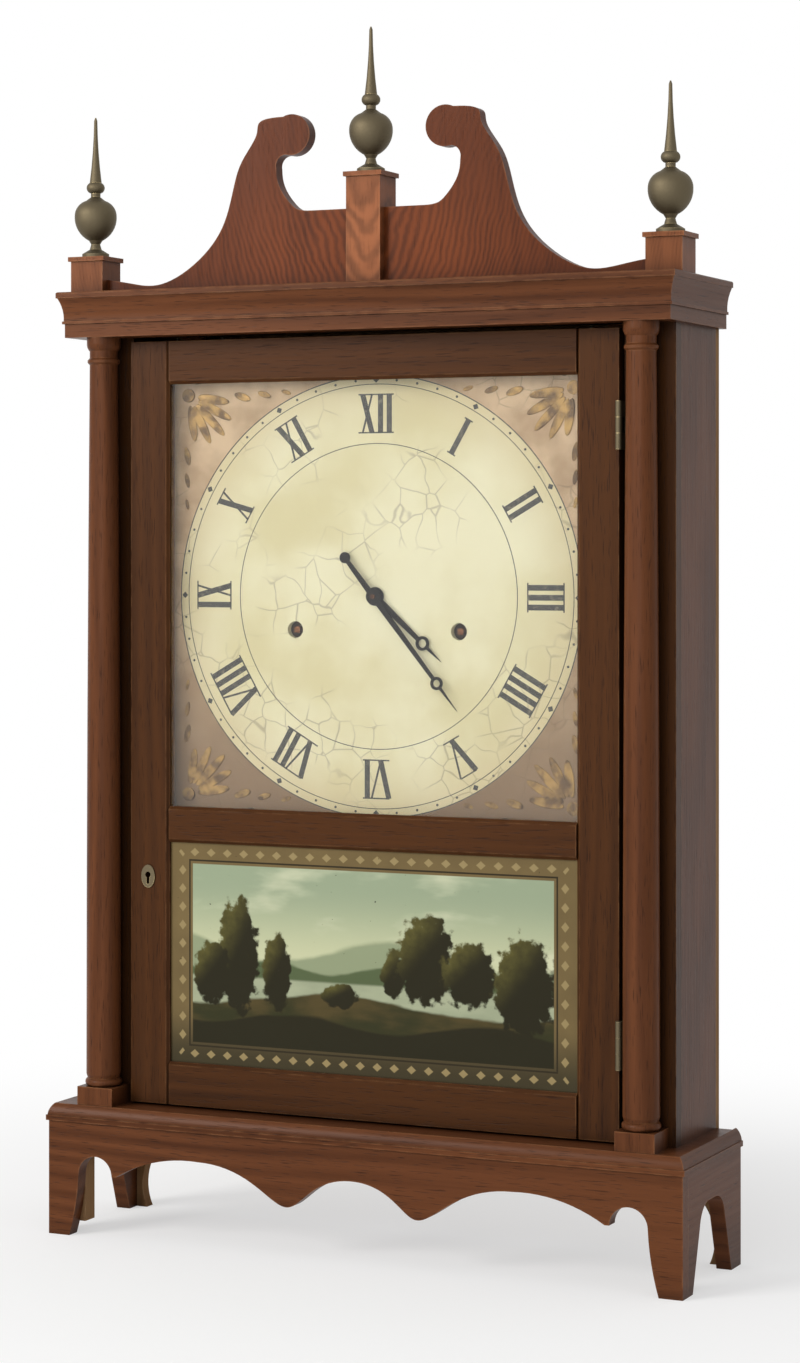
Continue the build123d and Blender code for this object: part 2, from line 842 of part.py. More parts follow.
hinge_x = (door_half + stile_inner) / 2
hinge_y = door_front - knuckle_r - 0.2
third = hinge_height / 3
with BuildPart() as hinge_door_leaves:
    for hinge_z in hinge_places:
        with BuildSketch(Plane.XY.offset(hinge_z - third / 2 + 0.1)):
            with Locations((hinge_x, hinge_y)):
                Circle(knuckle_r)
            span(door_half - hinge_leaf, door_half, hinge_y, door_front + 1.0)
            with Locations((hinge_x, hinge_y)):
                Circle(pin_r + pivot_fit, mode=Mode.SUBTRACT)
        extrude(amount=third - 0.2)
        with BuildSketch(Plane.XY.offset(hinge_z - hinge_height / 2)):
            span(door_half - hinge_leaf, door_half, door_front, door_back)
        extrude(amount=hinge_height)
hinge_door_leaves.part.label = "hinge_door_leaves"
export_step(hinge_door_leaves.part, "parts/hinge_door_leaves.step")

with BuildPart() as hinge_case_leaves:
    for hinge_z in hinge_places:
        for low, high in ((-1.5, -0.5), (0.5, 1.5)):
            with BuildSketch(Plane.XY.offset(hinge_z + low * third)):
                with Locations((hinge_x, hinge_y)):
                    Circle(knuckle_r)
                span(stile_inner, stile_inner + hinge_leaf, hinge_y, stile_front + 1.0)
            extrude(amount=third)
        with BuildSketch(Plane.XY.offset(hinge_z - hinge_height / 2)):
            span(stile_inner, stile_inner + hinge_leaf, stile_front, stile_back)
            with Locations((hinge_x, hinge_y)):
                Circle(pin_r)
        extrude(amount=hinge_height)
hinge_case_leaves.part.label = "hinge_case_leaves"
export_step(hinge_case_leaves.part, "parts/hinge_case_leaves.step")

# Dial board with its centre hole and two winding holes


def along(start, distance, angle):
    """A point at a distance and an angle in degrees from another, in the plane of the wheels."""
    return (start[0] + distance * cos(radians(angle)), start[1] + distance * sin(radians(angle)))


great_teeth, second_pinion, second_teeth, centre_pinion = 48, 12, 40, 20
centre_teeth, third_pinion, third_teeth, escape_pinion = 64, 8, 60, 6
pin_teeth, warning_pinion, warning_teeth, fly_pinion = 48, 8, 42, 6
cannon_teeth, minute_teeth, minute_pinion, hour_teeth = 12, 48, 12, 36

centre = (0.0, dial_z)
second = along(centre, great_module * (second_teeth + centre_pinion) / 2, second_angle)
great = along(second, great_module * (great_teeth + second_pinion) / 2, great_angle)
third_arbor = along(centre, centre_module * (centre_teeth + third_pinion) / 2, third_angle)
escape = along(third_arbor, third_module * (third_teeth + escape_pinion) / 2, escape_angle)
verge_pivot = (escape[0], escape[1] + verge_rise)
pendulum_pivot = (escape[0], escape[1] + pendulum_rise)
strike_great = (-great[0], great[1])
pin_arbor = (-second[0], second[1])
warning = along(pin_arbor, strike_module * (pin_teeth + warning_pinion) / 2, warning_angle)
fly_arbor = along(warning, strike_module * (warning_teeth + fly_pinion) / 2, fly_angle)
minute_stud = along(centre, minute_module * (cannon_teeth + minute_teeth) / 2, motion_angle)
hammer_pivot = (-38.0, dial_z + 78.0)

dial_low = opening_bottom - dial_top_lap
dial_high = opening_top + dial_top_lap
pin_places = (
    (-rail_half - rail_thick / 2, dial_low + 4.0),
    (rail_half + rail_thick / 2, dial_low + 4.0),
    (-130.0, dial_high - 4.0),
    (130.0, dial_high - 4.0),
)
dial_pin_r = 1.2
with BuildPart() as dial:
    with BuildSketch(upright(dial_back)):
        span(-dial_half, dial_half, dial_low, dial_high)
        with Locations(centre):
            Circle(centre_hole_r, mode=Mode.SUBTRACT)
        with Locations(great, strike_great):
            Circle(winding_hole_r, mode=Mode.SUBTRACT)
        with Locations(*pin_places):
            Circle(dial_pin_r + 0.02, mode=Mode.SUBTRACT)
    extrude(amount=dial_thick)
dial.part.label = "dial"
export_step(dial.part, "parts/dial.step")

pin_long = 10.0
with BuildPart() as case_pins:
    with BuildSketch(upright(dial_front + pin_long)):
        with Locations(*pin_places):
            Circle(dial_pin_r)
    extrude(amount=pin_long)
    with BuildSketch(upright(dial_front)):
        with Locations(*pin_places):
            Circle(pin_head_r)
    extrude(amount=0.9)
    with BuildSketch(upright(axle_back)):
        with Locations((-pulley_x, axle_z), (pulley_x, axle_z)):
            Circle(axle_r)
    extrude(amount=axle_long)
case_pins.part.label = "case_pins"
export_step(case_pins.part, "parts/case_pins.step")

with BuildPart() as dial_rail:
    with BuildSketch(upright(dial_back + dial_rail_thick)):
        span(-inside_half, inside_half, dial_high - 10.0, dial_high - 10.0 + dial_rail_high)
        with Locations(*pin_places[2:]):
            Circle(dial_pin_r + 0.02, mode=Mode.SUBTRACT)
    extrude(amount=dial_rail_thick)
dial_rail.part.label = "dial_rail"
export_step(dial_rail.part, "parts/dial_rail.step")

# Movement rails: grooved boards that the two plates slide into

plate_half = rail_half + groove - fit
plate_low = dial_z - plate_below
plate_high = dial_z + plate_above
rail_top = dial_z + rail_over_centre
plate_slots = ((plate_front, plate_back), (rear_plate_front, rear_plate_back))
with BuildPart() as movement_rails:
    with BuildSketch(Plane.XY.offset(shelf_top)):
        for side in (-1, 1):
            span(side * rail_half, side * (rail_half + rail_thick), dial_back, inside_back)
    extrude(amount=rail_top - shelf_top)
    with BuildSketch(Plane.XY.offset(plate_low)):
        for side in (-1, 1):
            for front, back in plate_slots:
                span(side * rail_half, side * (rail_half + groove), front - 0.1, back + 0.1)
    extrude(amount=rail_top - plate_low, mode=Mode.SUBTRACT)
    with BuildSketch(upright(dial_front + pin_long)):
        with Locations(*pin_places[:2]):
            Circle(dial_pin_r + 0.02)
    extrude(amount=pin_long - dial_thick, mode=Mode.SUBTRACT)
movement_rails.part.label = "movement_rails"
export_step(movement_rails.part, "parts/movement_rails.step")

# Wheels and pinions: straight-flanked wooden teeth


def wheel_outline(teeth, module, phase):
    """Corners of a wheel with narrow teeth over V-shaped gaps; one tooth is at angle phase."""
    tip = teeth * module / 2 + 0.7 * module
    root = teeth * module / 2 - 1.55 * module
    pitch = 360 / teeth
    corners = []
    for tooth in range(teeth):
        angle = phase + tooth * pitch
        corners.append(polar((0, 0), root, angle - pitch / 2))
        corners.append(polar((0, 0), tip, angle - 0.09 * pitch))
        corners.append(polar((0, 0), tip, angle + 0.09 * pitch))
    return corners


def pinion_outline(leaves, module, phase):
    """Corners of a pinion with straight leaves; one leaf is at angle phase."""
    tip = leaves * module / 2 + 0.6 * module
    root = leaves * module / 2 - 1.2 * module
    pitch = 360 / leaves
    corners = []
    for leaf in range(leaves):
        angle = phase + leaf * pitch
        for radius, share in ((root, -0.22), (tip, -0.1), (tip, 0.1), (root, 0.22)):
            corners.append(polar((0, 0), radius, angle + share * pitch))
    return corners


def direction(start, end):
    """The angle in degrees from one arbor to another."""
    return degrees(atan2(end[1] - start[1], end[0] - start[0]))


def meshed(teeth, phase, start, end, other_teeth):
    """Phase of the wheel at end whose gap faces the tooth of the wheel at start."""
    heading = direction(start, end)
    share = ((heading - phase) * teeth / 360) % 1
    return heading + 180 - (0.5 - share) * 360 / other_teeth


second_phase = meshed(great_teeth, 0, great, second, second_pinion)
centre_phase = meshed(second_teeth, second_phase, second, centre, centre_pinion)
third_phase = meshed(centre_teeth, centre_phase, centre, third_arbor, third_pinion)
escape_phase = meshed(third_teeth, third_phase, third_arbor, escape, escape_pinion)
pin_phase = meshed(great_teeth, 0, strike_great, pin_arbor, second_pinion)
warning_phase = meshed(pin_teeth, pin_phase, pin_arbor, warning, warning_pinion)
fly_phase = meshed(warning_teeth, warning_phase, warning, fly_arbor, fly_pinion)
minute_phase = meshed(cannon_teeth, 0, centre, minute_stud, minute_teeth)
hour_phase = meshed(minute_pinion, minute_phase, minute_stud, centre, hour_teeth)

wheel_thick = 3.0
great_thick = 4.0
pinion_over = 0.5
pivot_long = plate_thick
winding_square = 4.0
great_layer = 2.0
escape_layer = 2.0
third_layer = 11.0
warning_layer = 12.0
centre_layer = 18.0
second_layer = 27.0
drum_layer = 9.0

# Plates: the front one carries the pendulum's stud and the minute wheel's stud,
# the rear one carries the four posts

pivot_holes = (second, third_arbor, escape, pin_arbor, warning, fly_arbor, hammer_pivot)
post_places = ((-80, plate_low + 7), (80, plate_low + 7), (-78, plate_high - 10), (78, plate_high - 10))
arbor_front_r = 1.5
stud_r = 1.2
pendulum_y = plate_front - 4.6
post_pin_r = 2.0
with BuildPart() as front_plate:
    with BuildSketch(upright(plate_back)):
        span(-plate_half, plate_half, plate_low, plate_high)
        with Locations(*pivot_holes, verge_pivot):
            Circle(pivot_r + pivot_fit, mode=Mode.SUBTRACT)
        with Locations(centre):
            Circle(arbor_front_r + pivot_fit, mode=Mode.SUBTRACT)
        with Locations(great, strike_great):
            Circle(arbor_r + pivot_fit, mode=Mode.SUBTRACT)
        with Locations(*post_places):
            Circle(post_pin_r, mode=Mode.SUBTRACT)
        with BuildLine():
            Line((-22, plate_low), (22, plate_low))
            Line((22, plate_low), (22, plate_low + 12))
            ThreePointArc((22, plate_low + 12), (0, plate_low + 30), (-22, plate_low + 12))
            Line((-22, plate_low + 12), (-22, plate_low))
        make_face(mode=Mode.SUBTRACT)
    extrude(amount=plate_thick)
    with BuildSketch(upright(plate_front)):
        with Locations(pendulum_pivot):
            Circle(stud_r)
    extrude(amount=plate_front - pendulum_y + 1.8)
    with BuildSketch(upright(plate_front)):
        with Locations(minute_stud):
            Circle(arbor_front_r)
    extrude(amount=dial_to_plate - 1.0)
front_plate.part.label = "front_plate"
export_step(front_plate.part, "parts/front_plate.step")

with BuildPart() as back_plate:
    with BuildSketch(upright(rear_plate_back)):
        span(-plate_half, plate_half, plate_low, plate_high)
        with Locations(*pivot_holes, verge_pivot, centre, great, strike_great):
            Circle(pivot_r + pivot_fit, mode=Mode.SUBTRACT)
    extrude(amount=plate_thick)
    with BuildSketch(upright(rear_plate_front)):
        with Locations(*post_places):
            Circle(post_r)
    extrude(amount=plate_gap)
    with BuildSketch(upright(plate_back)):
        with Locations(*post_places):
            Circle(post_pin_r)
    extrude(amount=plate_thick)
back_plate.part.label = "back_plate"
export_step(back_plate.part, "parts/back_plate.step")

# Great wheels: they turn on the winding arbors and carry the click

click_r = 10.6
click_long = 5.0
click_thick = 2.0
count_notches = 12
for name, place, way in (("time_great_wheel", great, 1), ("strike_great_wheel", strike_great, -1)):
    front = plate_back + great_layer
    with BuildPart() as great_wheel:
        with BuildSketch(upright(front + great_thick, *place)):
            Polygon(*wheel_outline(great_teeth, great_module, 0), align=None)
            Circle(arbor_r + pivot_fit, mode=Mode.SUBTRACT)
        extrude(amount=great_thick)
        with BuildSketch(upright(front + great_thick + click_thick, *place)):
            with Locations((0, click_r + click_long / 2)):
                Rectangle(4.0, click_long)
        extrude(amount=click_thick)
        if way < 0:
            with BuildSketch(upright(front, *place)):
                Circle(great_teeth * great_module / 2 - 5.0)
                Circle(arbor_r + pivot_fit, mode=Mode.SUBTRACT)
                with PolarLocations(great_teeth * great_module / 2 - 5.0, count_notches):
                    Rectangle(4.0, 2.5, mode=Mode.SUBTRACT)
            extrude(amount=1.5)
    great_wheel.part.label = name
    export_step(great_wheel.part, f"parts/{name}.step")

# Winding drums: arbor, ratchet and flanged drum, with a square for the key in front

ratchet_teeth = 12
ratchet_r = 10.0
for name, place in (("time_drum", great), ("strike_drum", strike_great)):
    drum_front = plate_back + drum_layer
    with BuildPart() as drum:
        with BuildSketch(upright(rear_plate_front - 0.3, *place)):
            Circle(arbor_r)
        extrude(amount=rear_plate_front - 0.3 - plate_front)
        with BuildSketch(upright(rear_plate_front - 0.3 + pivot_long, *place)):
            Circle(pivot_r)
        extrude(amount=pivot_long)
        with BuildSketch(upright(plate_front, *place)):
            Rectangle(winding_square, winding_square)
        extrude(amount=dial_to_plate + dial_thick / 2)
        with BuildSketch(upright(drum_front, *place)):
            Polygon(*wheel_outline(ratchet_teeth, 2 * ratchet_r / (ratchet_teeth + 1.4), 15), align=None)
        extrude(amount=click_thick + 0.4)
        with BuildSketch(upright(drum_front + drum_long, *place)):
            Circle(drum_r)
        extrude(amount=drum_long)
        for flange_back in (drum_front + 1.5, drum_front + drum_long):
            with BuildSketch(upright(flange_back, *place)):
                Circle(drum_flange_r)
            extrude(amount=1.5)
    drum.part.label = name
    export_step(drum.part, f"parts/{name}.step")


# Arbors of the two trains: each carries a pinion and a wheel, and turns on thin pivots

arbor_pieces = (
    ("time_second_wheel", second, arbor_r,
     (second_pinion, great_module, second_phase, great_layer, great_thick),
     (second_teeth, great_module, second_phase, second_layer, wheel_thick)),
    ("third_wheel", third_arbor, arbor_r - 0.8,
     (third_pinion, centre_module, third_phase, centre_layer, wheel_thick),
     (third_teeth, third_module, third_phase, third_layer, wheel_thick)),
    ("pin_wheel", pin_arbor, arbor_r,
     (second_pinion, great_module, pin_phase, great_layer, great_thick),
     (pin_teeth, strike_module, pin_phase, second_layer, wheel_thick)),
    ("warning_wheel", warning, arbor_r - 1.0,
     (warning_pinion, strike_module, warning_phase, second_layer, wheel_thick),
     (warning_teeth, strike_module, warning_phase, warning_layer, wheel_thick)),
)
end_shake = 0.3
for name, place, body_r, small, large in arbor_pieces:
    with BuildPart() as arbor:
        with BuildSketch(upright(rear_plate_front - end_shake, *place)):
            Circle(body_r)
        extrude(amount=plate_gap - 2 * end_shake)
        with BuildSketch(upright(rear_plate_front + pivot_long - end_shake, *place)):
            Circle(pivot_r)
        extrude(amount=plate_gap + 2 * pivot_long - 2 * end_shake)
        leaves, module, phase, layer, thick = small
        with BuildSketch(upright(plate_back + layer + thick + pinion_over, *place)):
            Polygon(*pinion_outline(leaves, module, phase), align=None)
        extrude(amount=thick + 2 * pinion_over)
        teeth, module, phase, layer, thick = large
        with BuildSketch(upright(plate_back + layer + thick, *place)):
            Polygon(*wheel_outline(teeth, module, phase), align=None)
        extrude(amount=thick)
    arbor.part.label = name
    export_step(arbor.part, f"parts/{name}.step")

# Centre arbor: the hour arbor, whose front end carries the hands

minute_hand_back = dial_front - 4.0
with BuildPart() as centre_wheel:
    with BuildSketch(upright(rear_plate_front - end_shake, *centre)):
        Circle(arbor_r)
    extrude(amount=plate_gap - 2 * end_shake)
    with BuildSketch(upright(rear_plate_front + pivot_long - end_shake, *centre)):
        Circle(pivot_r)
    extrude(amount=pivot_long)
    with BuildSketch(upright(plate_back + end_shake, *centre)):
        Circle(arbor_front_r)
    extrude(amount=plate_back + end_shake - minute_hand_back + hand_thick + 1.5)
    with BuildSketch(upright(plate_back + second_layer + wheel_thick + pinion_over, *centre)):
        Polygon(*wheel_outline(centre_pinion, great_module, centre_phase), align=None)
    extrude(amount=wheel_thick + 2 * pinion_over)
    with BuildSketch(upright(plate_back + centre_layer + wheel_thick, *centre)):
        Polygon(*wheel_outline(centre_teeth, centre_module, centre_phase), align=None)
    extrude(amount=wheel_thick)
centre_wheel.part.label = "centre_wheel"
export_step(centre_wheel.part, "parts/centre_wheel.step")

# Escape wheel: raked teeth, on the last arbor

escape_depth = 2.6
escape_thick = 2.0
escape_pitch = 360 / escape_teeth
with BuildPart() as escape_wheel:
    with BuildSketch(upright(rear_plate_front - end_shake, *escape)):
        Circle(pivot_r)
    extrude(amount=plate_gap - 2 * end_shake)
    with BuildSketch(upright(rear_plate_front + pivot_long - end_shake, *escape)):
        Circle(pivot_r)
    extrude(amount=plate_gap + 2 * pivot_long - 2 * end_shake)
    with BuildSketch(upright(plate_back + third_layer + wheel_thick + pinion_over, *escape)):
        Polygon(*pinion_outline(escape_pinion, third_module, escape_phase), align=None)
    extrude(amount=wheel_thick + 2 * pinion_over)
    with BuildSketch(upright(plate_back + escape_layer + escape_thick, *escape)):
        raked = []
        for tooth in range(escape_teeth):
            raked.append(polar((0, 0), escape_r - escape_depth, tooth * escape_pitch))
            raked.append(polar((0, 0), escape_r, (tooth + 0.9) * escape_pitch))
        Polygon(*raked, align=None)
    extrude(amount=escape_thick)
escape_wheel.part.label = "escape_wheel"
export_step(escape_wheel.part, "parts/escape_wheel.step")

# Verge: a curved strip over the escape wheel, its arbor, and the crutch in front

pallet_r = escape_r + 1.9
pallet_thick = 2.0
pallet_half_angle = 37.0
crutch_r = 0.7
crutch_y = plate_front - 2.2
fork_gap = 2.6
with BuildPart() as verge:
    with BuildSketch(upright(rear_plate_front + pivot_long - end_shake, *verge_pivot)):
        Circle(pivot_r)
    extrude(amount=rear_plate_front + pivot_long - end_shake - crutch_y + crutch_r)
    with BuildSketch(upright(plate_back + escape_layer + escape_thick, *escape)):
        with BuildLine():
            inner = [polar((0, 0), pallet_r, 90 + turn * pallet_half_angle) for turn in (1, 0, -1)]
            outer_r = pallet_r + pallet_thick
            outer = [polar((0, 0), outer_r, 90 + turn * pallet_half_angle) for turn in (-1, 0, 1)]
            ThreePointArc(*inner)
            Line(inner[2], outer[0])
            ThreePointArc(*outer)
            Line(outer[2], inner[0])
        make_face()
        with Locations((0, verge_rise)):
            Circle(pivot_r + 1.8)
    extrude(amount=escape_thick)
    with BuildSketch(upright(crutch_y + crutch_r, *verge_pivot)):
        span(-crutch_r, crutch_r, -fork_drop, 0)
        span(-fork_gap, fork_gap, -fork_drop - crutch_r, -fork_drop + crutch_r)
        Circle(pivot_r + 1.0)
    extrude(amount=2 * crutch_r)
    with BuildSketch(upright(crutch_y - crutch_r, *verge_pivot)):
        for side in (-1, 1):
            with Locations((side * (fork_gap - crutch_r), -fork_drop)):
                Rectangle(2 * crutch_r, 2 * crutch_r)
    extrude(amount=crutch_y - pendulum_y + 0.6)
verge.part.label = "verge"
export_step(verge.part, "parts/verge.step")

# Pendulum: a wire rod hung by its eye, with a lens-shaped bob on a nut

eye_r = 2.8
nut_r = 3.0
nut_high = 4.0
bob_z = pendulum_pivot[1] - pendulum_long
with BuildPart() as pendulum_rod:
    with BuildSketch(upright(pendulum_y + rod_r, *pendulum_pivot)):
        Circle(eye_r)
    extrude(amount=2 * rod_r)
    with BuildSketch(Plane.XY.offset(bob_z - bob_r - nut_high - 1.0)):
        with Locations((pendulum_pivot[0], pendulum_y)):
            Circle(rod_r)
    extrude(amount=pendulum_long + bob_r + nut_high + 1.0 - eye_r + 0.4)
    with BuildSketch(Plane.XY.offset(bob_z - bob_r - nut_high)):
        with Locations((pendulum_pivot[0], pendulum_y)):
            RegularPolygon(nut_r, 8)
    extrude(amount=nut_high)
    with BuildSketch(upright(pendulum_y + 2 * rod_r, *pendulum_pivot)):
        Circle(stud_r + pivot_fit)
    extrude(amount=4 * rod_r, mode=Mode.SUBTRACT)
pendulum_rod.part.label = "pendulum_rod"
export_step(pendulum_rod.part, "parts/pendulum_rod.step")

with BuildPart() as pendulum_bob:
    with BuildSketch(Plane(origin=(pendulum_pivot[0], pendulum_y, bob_z), x_dir=(1, 0, 0), z_dir=(0, 0, 1))):
        with BuildLine():
            ThreePointArc((0, -bob_thick / 2), (bob_r * 0.68, -bob_thick * 0.3), (bob_r, 0))
            ThreePointArc((bob_r, 0), (bob_r * 0.68, bob_thick * 0.3), (0, bob_thick / 2))
            Line((0, bob_thick / 2), (0, -bob_thick / 2))
        make_face()
    revolve(axis=Axis((pendulum_pivot[0], pendulum_y, bob_z), (0, 1, 0)))
    with BuildSketch(Plane.XY.offset(bob_z - bob_r - 1.0)):
        with Locations((pendulum_pivot[0], pendulum_y)):
            Circle(rod_r + pivot_fit)
    extrude(amount=2 * bob_r + 2.0, mode=Mode.SUBTRACT)
pendulum_bob.part.label = "pendulum_bob"
export_step(pendulum_bob.part, "parts/pendulum_bob.step")

# Motion work: the cannon pinion turns the minute wheel, whose pinion turns the hour wheel

motion_thick = 2.0
hour_face = dial_back + 0.7
minute_face = hour_face + motion_thick + 0.6
minute_pipe_r = 2.5
hour_pipe_r = 3.6
hour_hand_back = dial_front - 1.2
with BuildPart() as cannon_pinion:
    with BuildSketch(upright(minute_face + motion_thick, *centre)):
        Polygon(*pinion_outline(cannon_teeth, minute_module, 0), align=None)
    extrude(amount=motion_thick)
    with BuildSketch(upright(minute_face, *centre)):
        Circle(minute_pipe_r)
    extrude(amount=minute_face - minute_hand_back)
    with BuildSketch(upright(minute_face + 2 * motion_thick, *centre)):
        Circle(arbor_front_r + 0.02)
    extrude(amount=dial_to_plate + dial_thick + hand_gap + 10, mode=Mode.SUBTRACT)
cannon_pinion.part.label = "cannon_pinion"
export_step(cannon_pinion.part, "parts/cannon_pinion.step")

with BuildPart() as minute_wheel:
    with BuildSketch(upright(minute_face + motion_thick, *minute_stud)):
        Polygon(*wheel_outline(minute_teeth, minute_module, minute_phase), align=None)
    extrude(amount=motion_thick)
    with BuildSketch(upright(minute_face, *minute_stud)):
        Polygon(*pinion_outline(minute_pinion, hour_module, minute_phase), align=None)
    extrude(amount=minute_face - hour_face)
    with BuildSketch(upright(minute_face + 2 * motion_thick, *minute_stud)):
        Circle(arbor_front_r + pivot_fit)
    extrude(amount=dial_to_plate, mode=Mode.SUBTRACT)
minute_wheel.part.label = "minute_wheel"
export_step(minute_wheel.part, "parts/minute_wheel.step")

with BuildPart() as hour_wheel:
    with BuildSketch(upright(hour_face + motion_thick, *centre)):
        Polygon(*wheel_outline(hour_teeth, hour_module, hour_phase), align=None)
    extrude(amount=motion_thick)
    with BuildSketch(upright(hour_face, *centre)):
        Circle(hour_pipe_r)
    extrude(amount=hour_face - hour_hand_back + hand_thick)
    with BuildSketch(upright(hour_face + 2 * motion_thick, *centre)):
        Circle(minute_pipe_r + pivot_fit)
    extrude(amount=dial_to_plate + dial_thick, mode=Mode.SUBTRACT)
hour_wheel.part.label = "hour_wheel"
export_step(hour_wheel.part, "parts/hour_wheel.step")

# Hands: thin blades with a pierced ring near the point, and a tail on the minute hand


def pointing(y, angle):
    """A plane at depth y whose own y runs along a hand that points angle degrees past twelve."""
    turn = radians(angle)
    return Plane(origin=(0, y, dial_z), x_dir=(cos(turn), 0, -sin(turn)), z_dir=(0, -1, 0))


hand_root = 2.2
hand_ring_r = 4.6
hub_r = 6.0
with BuildPart() as hour_hand:
    ring_at = hour_hand_long * 0.72
    with BuildSketch(pointing(hour_hand_back, hour_angle)):
        Circle(hub_r)
        Polygon(
            (-hand_root, 0),
            (hand_root, 0),
            (hand_root * 0.6, ring_at),
            (0, hour_hand_long),
            (-hand_root * 0.6, ring_at),
            align=None,
        )
        with Locations((0, ring_at)):
            Circle(hand_ring_r)
            Circle(hand_ring_r - 1.8, mode=Mode.SUBTRACT)
        Circle(hour_pipe_r + 0.02, mode=Mode.SUBTRACT)
    extrude(amount=hand_thick)
hour_hand.part.label = "hour_hand"
export_step(hour_hand.part, "parts/hour_hand.step")

with BuildPart() as minute_hand:
    ring_at = minute_hand_long * 0.76
    with BuildSketch(pointing(minute_hand_back, minute_angle)):
        Circle(hub_r - 1.0)
        Polygon(
            (-hand_root * 0.6, -minute_tail),
            (hand_root * 0.6, -minute_tail),
            (hand_root * 0.9, 0),
            (hand_root * 0.5, ring_at),
            (0, minute_hand_long),
            (-hand_root * 0.5, ring_at),
            (-hand_root * 0.9, 0),
            align=None,
        )
        with Locations((0, -minute_tail)):
            Circle(hand_ring_r - 1.0)
        with Locations((0, ring_at)):
            Circle(hand_ring_r - 0.4)
            Circle(hand_ring_r - 2.2, mode=Mode.SUBTRACT)
        Circle(arbor_front_r + 0.02, mode=Mode.SUBTRACT)
    extrude(amount=hand_thick)
minute_hand.part.label = "minute_hand"
export_step(minute_hand.part, "parts/minute_hand.step")

# Fly: two flat vanes that slow the strike

fly_r = 12.5
fly_long = 12.0
vane_thick = 1.2
with BuildPart() as fly:
    with BuildSketch(upright(rear_plate_front - end_shake, *fly_arbor)):
        Circle(pivot_r)
    extrude(amount=plate_gap - 2 * end_shake)
    with BuildSketch(upright(rear_plate_front + pivot_long - end_shake, *fly_arbor)):
        Circle(pivot_r)
    extrude(amount=plate_gap + 2 * pivot_long - 2 * end_shake)
    with BuildSketch(upright(plate_back + warning_layer + wheel_thick + pinion_over, *fly_arbor)):
        Polygon(*pinion_outline(fly_pinion, strike_module, fly_phase), align=None)
    extrude(amount=wheel_thick + 2 * pinion_over)
    with BuildSketch(upright(plate_back + warning_layer + 2 * wheel_thick + fly_long, *fly_arbor)):
        Rectangle(2 * fly_r, vane_thick)
        Circle(pivot_r + 1.0)
    extrude(amount=fly_long)
fly.part.label = "fly"
export_step(fly.part, "parts/fly.step")

# Bell: cast, on a bracket from the backboard, with the hammer beside its rim

bell_y = (plate_back + rear_plate_front) / 2
bell_z = dial_z + bell_rise
bracket_bar = 3.0
with BuildPart() as bell:
    with BuildSketch(upright(bell_y)):
        with BuildLine():
            Line((bell_r, bell_z), (bell_r - bell_wall, bell_z))
            ThreePointArc(
                (bell_r - bell_wall, bell_z),
                (bell_r * 0.68, bell_z + bell_high * 0.62),
                (bracket_bar, bell_z + bell_high - bell_wall),
            )
            Line((bracket_bar, bell_z + bell_high - bell_wall), (bracket_bar, bell_z + bell_high))
            ThreePointArc(
                (bracket_bar, bell_z + bell_high),
                (bell_r * 0.78, bell_z + bell_high * 0.7),
                (bell_r, bell_z),
            )
        make_face()
    revolve(axis=Axis((0, bell_y, 0), (0, 0, 1)))
    with BuildSketch(Plane.XY.offset(bell_z + bell_high)):
        span(-bracket_bar, bracket_bar, bell_y - bracket_bar, inside_back)
    extrude(amount=bracket_bar)
    with BuildSketch(Plane.XY.offset(bell_z + bell_high - bell_wall - 2.0)):
        with Locations((0, bell_y)):
            Circle(bracket_bar)
    extrude(amount=bell_wall + 2.0)
    with BuildSketch(Plane.XY.offset(bell_z + bell_high - bell_wall - 2.0)):
        with Locations((0, bell_y)):
            Circle(bracket_bar + 2.0)
    extrude(amount=1.6)
    with BuildSketch(upright(inside_back)):
        with Locations((0, bell_z + bell_high - 2.0)):
            Rectangle(4 * bracket_bar, 6 * bracket_bar)
    extrude(amount=0.8)
bell.part.label = "bell"
export_step(bell.part, "parts/bell.step")

hammer_r = 3.5
hammer_long = 12.0
wire_r = 1.0
hammer_gap = 1.5
hammer_x = -bell_r - hammer_gap - hammer_long / 2
hammer_over_rim = 3.0
hammer_z = bell_z + hammer_over_rim
with BuildPart() as hammer:
    with BuildSketch(upright(rear_plate_front - end_shake, *hammer_pivot)):
        Circle(pivot_r + 0.8)
    extrude(amount=plate_gap - 2 * end_shake)
    with BuildSketch(upright(rear_plate_front + pivot_long - end_shake, *hammer_pivot)):
        Circle(pivot_r)
    extrude(amount=plate_gap + 2 * pivot_long - 2 * end_shake)
    with BuildSketch(Plane(origin=(hammer_pivot[0], bell_y, hammer_pivot[1]),
                           z_dir=(hammer_x - hammer_pivot[0], 0, hammer_z - hammer_pivot[1]))):
        Circle(wire_r)
    extrude(amount=hypot(hammer_x - hammer_pivot[0], hammer_z - hammer_pivot[1]))
    with BuildSketch(Plane(origin=(hammer_x - hammer_long / 2, bell_y, hammer_z), z_dir=(1, 0, 0))):
        Circle(hammer_r)
    extrude(amount=hammer_long)
hammer.part.label = "hammer"
export_step(hammer.part, "parts/hammer.step")

# Weights: flat cast blocks with a wire hook, hung at the end of their fall

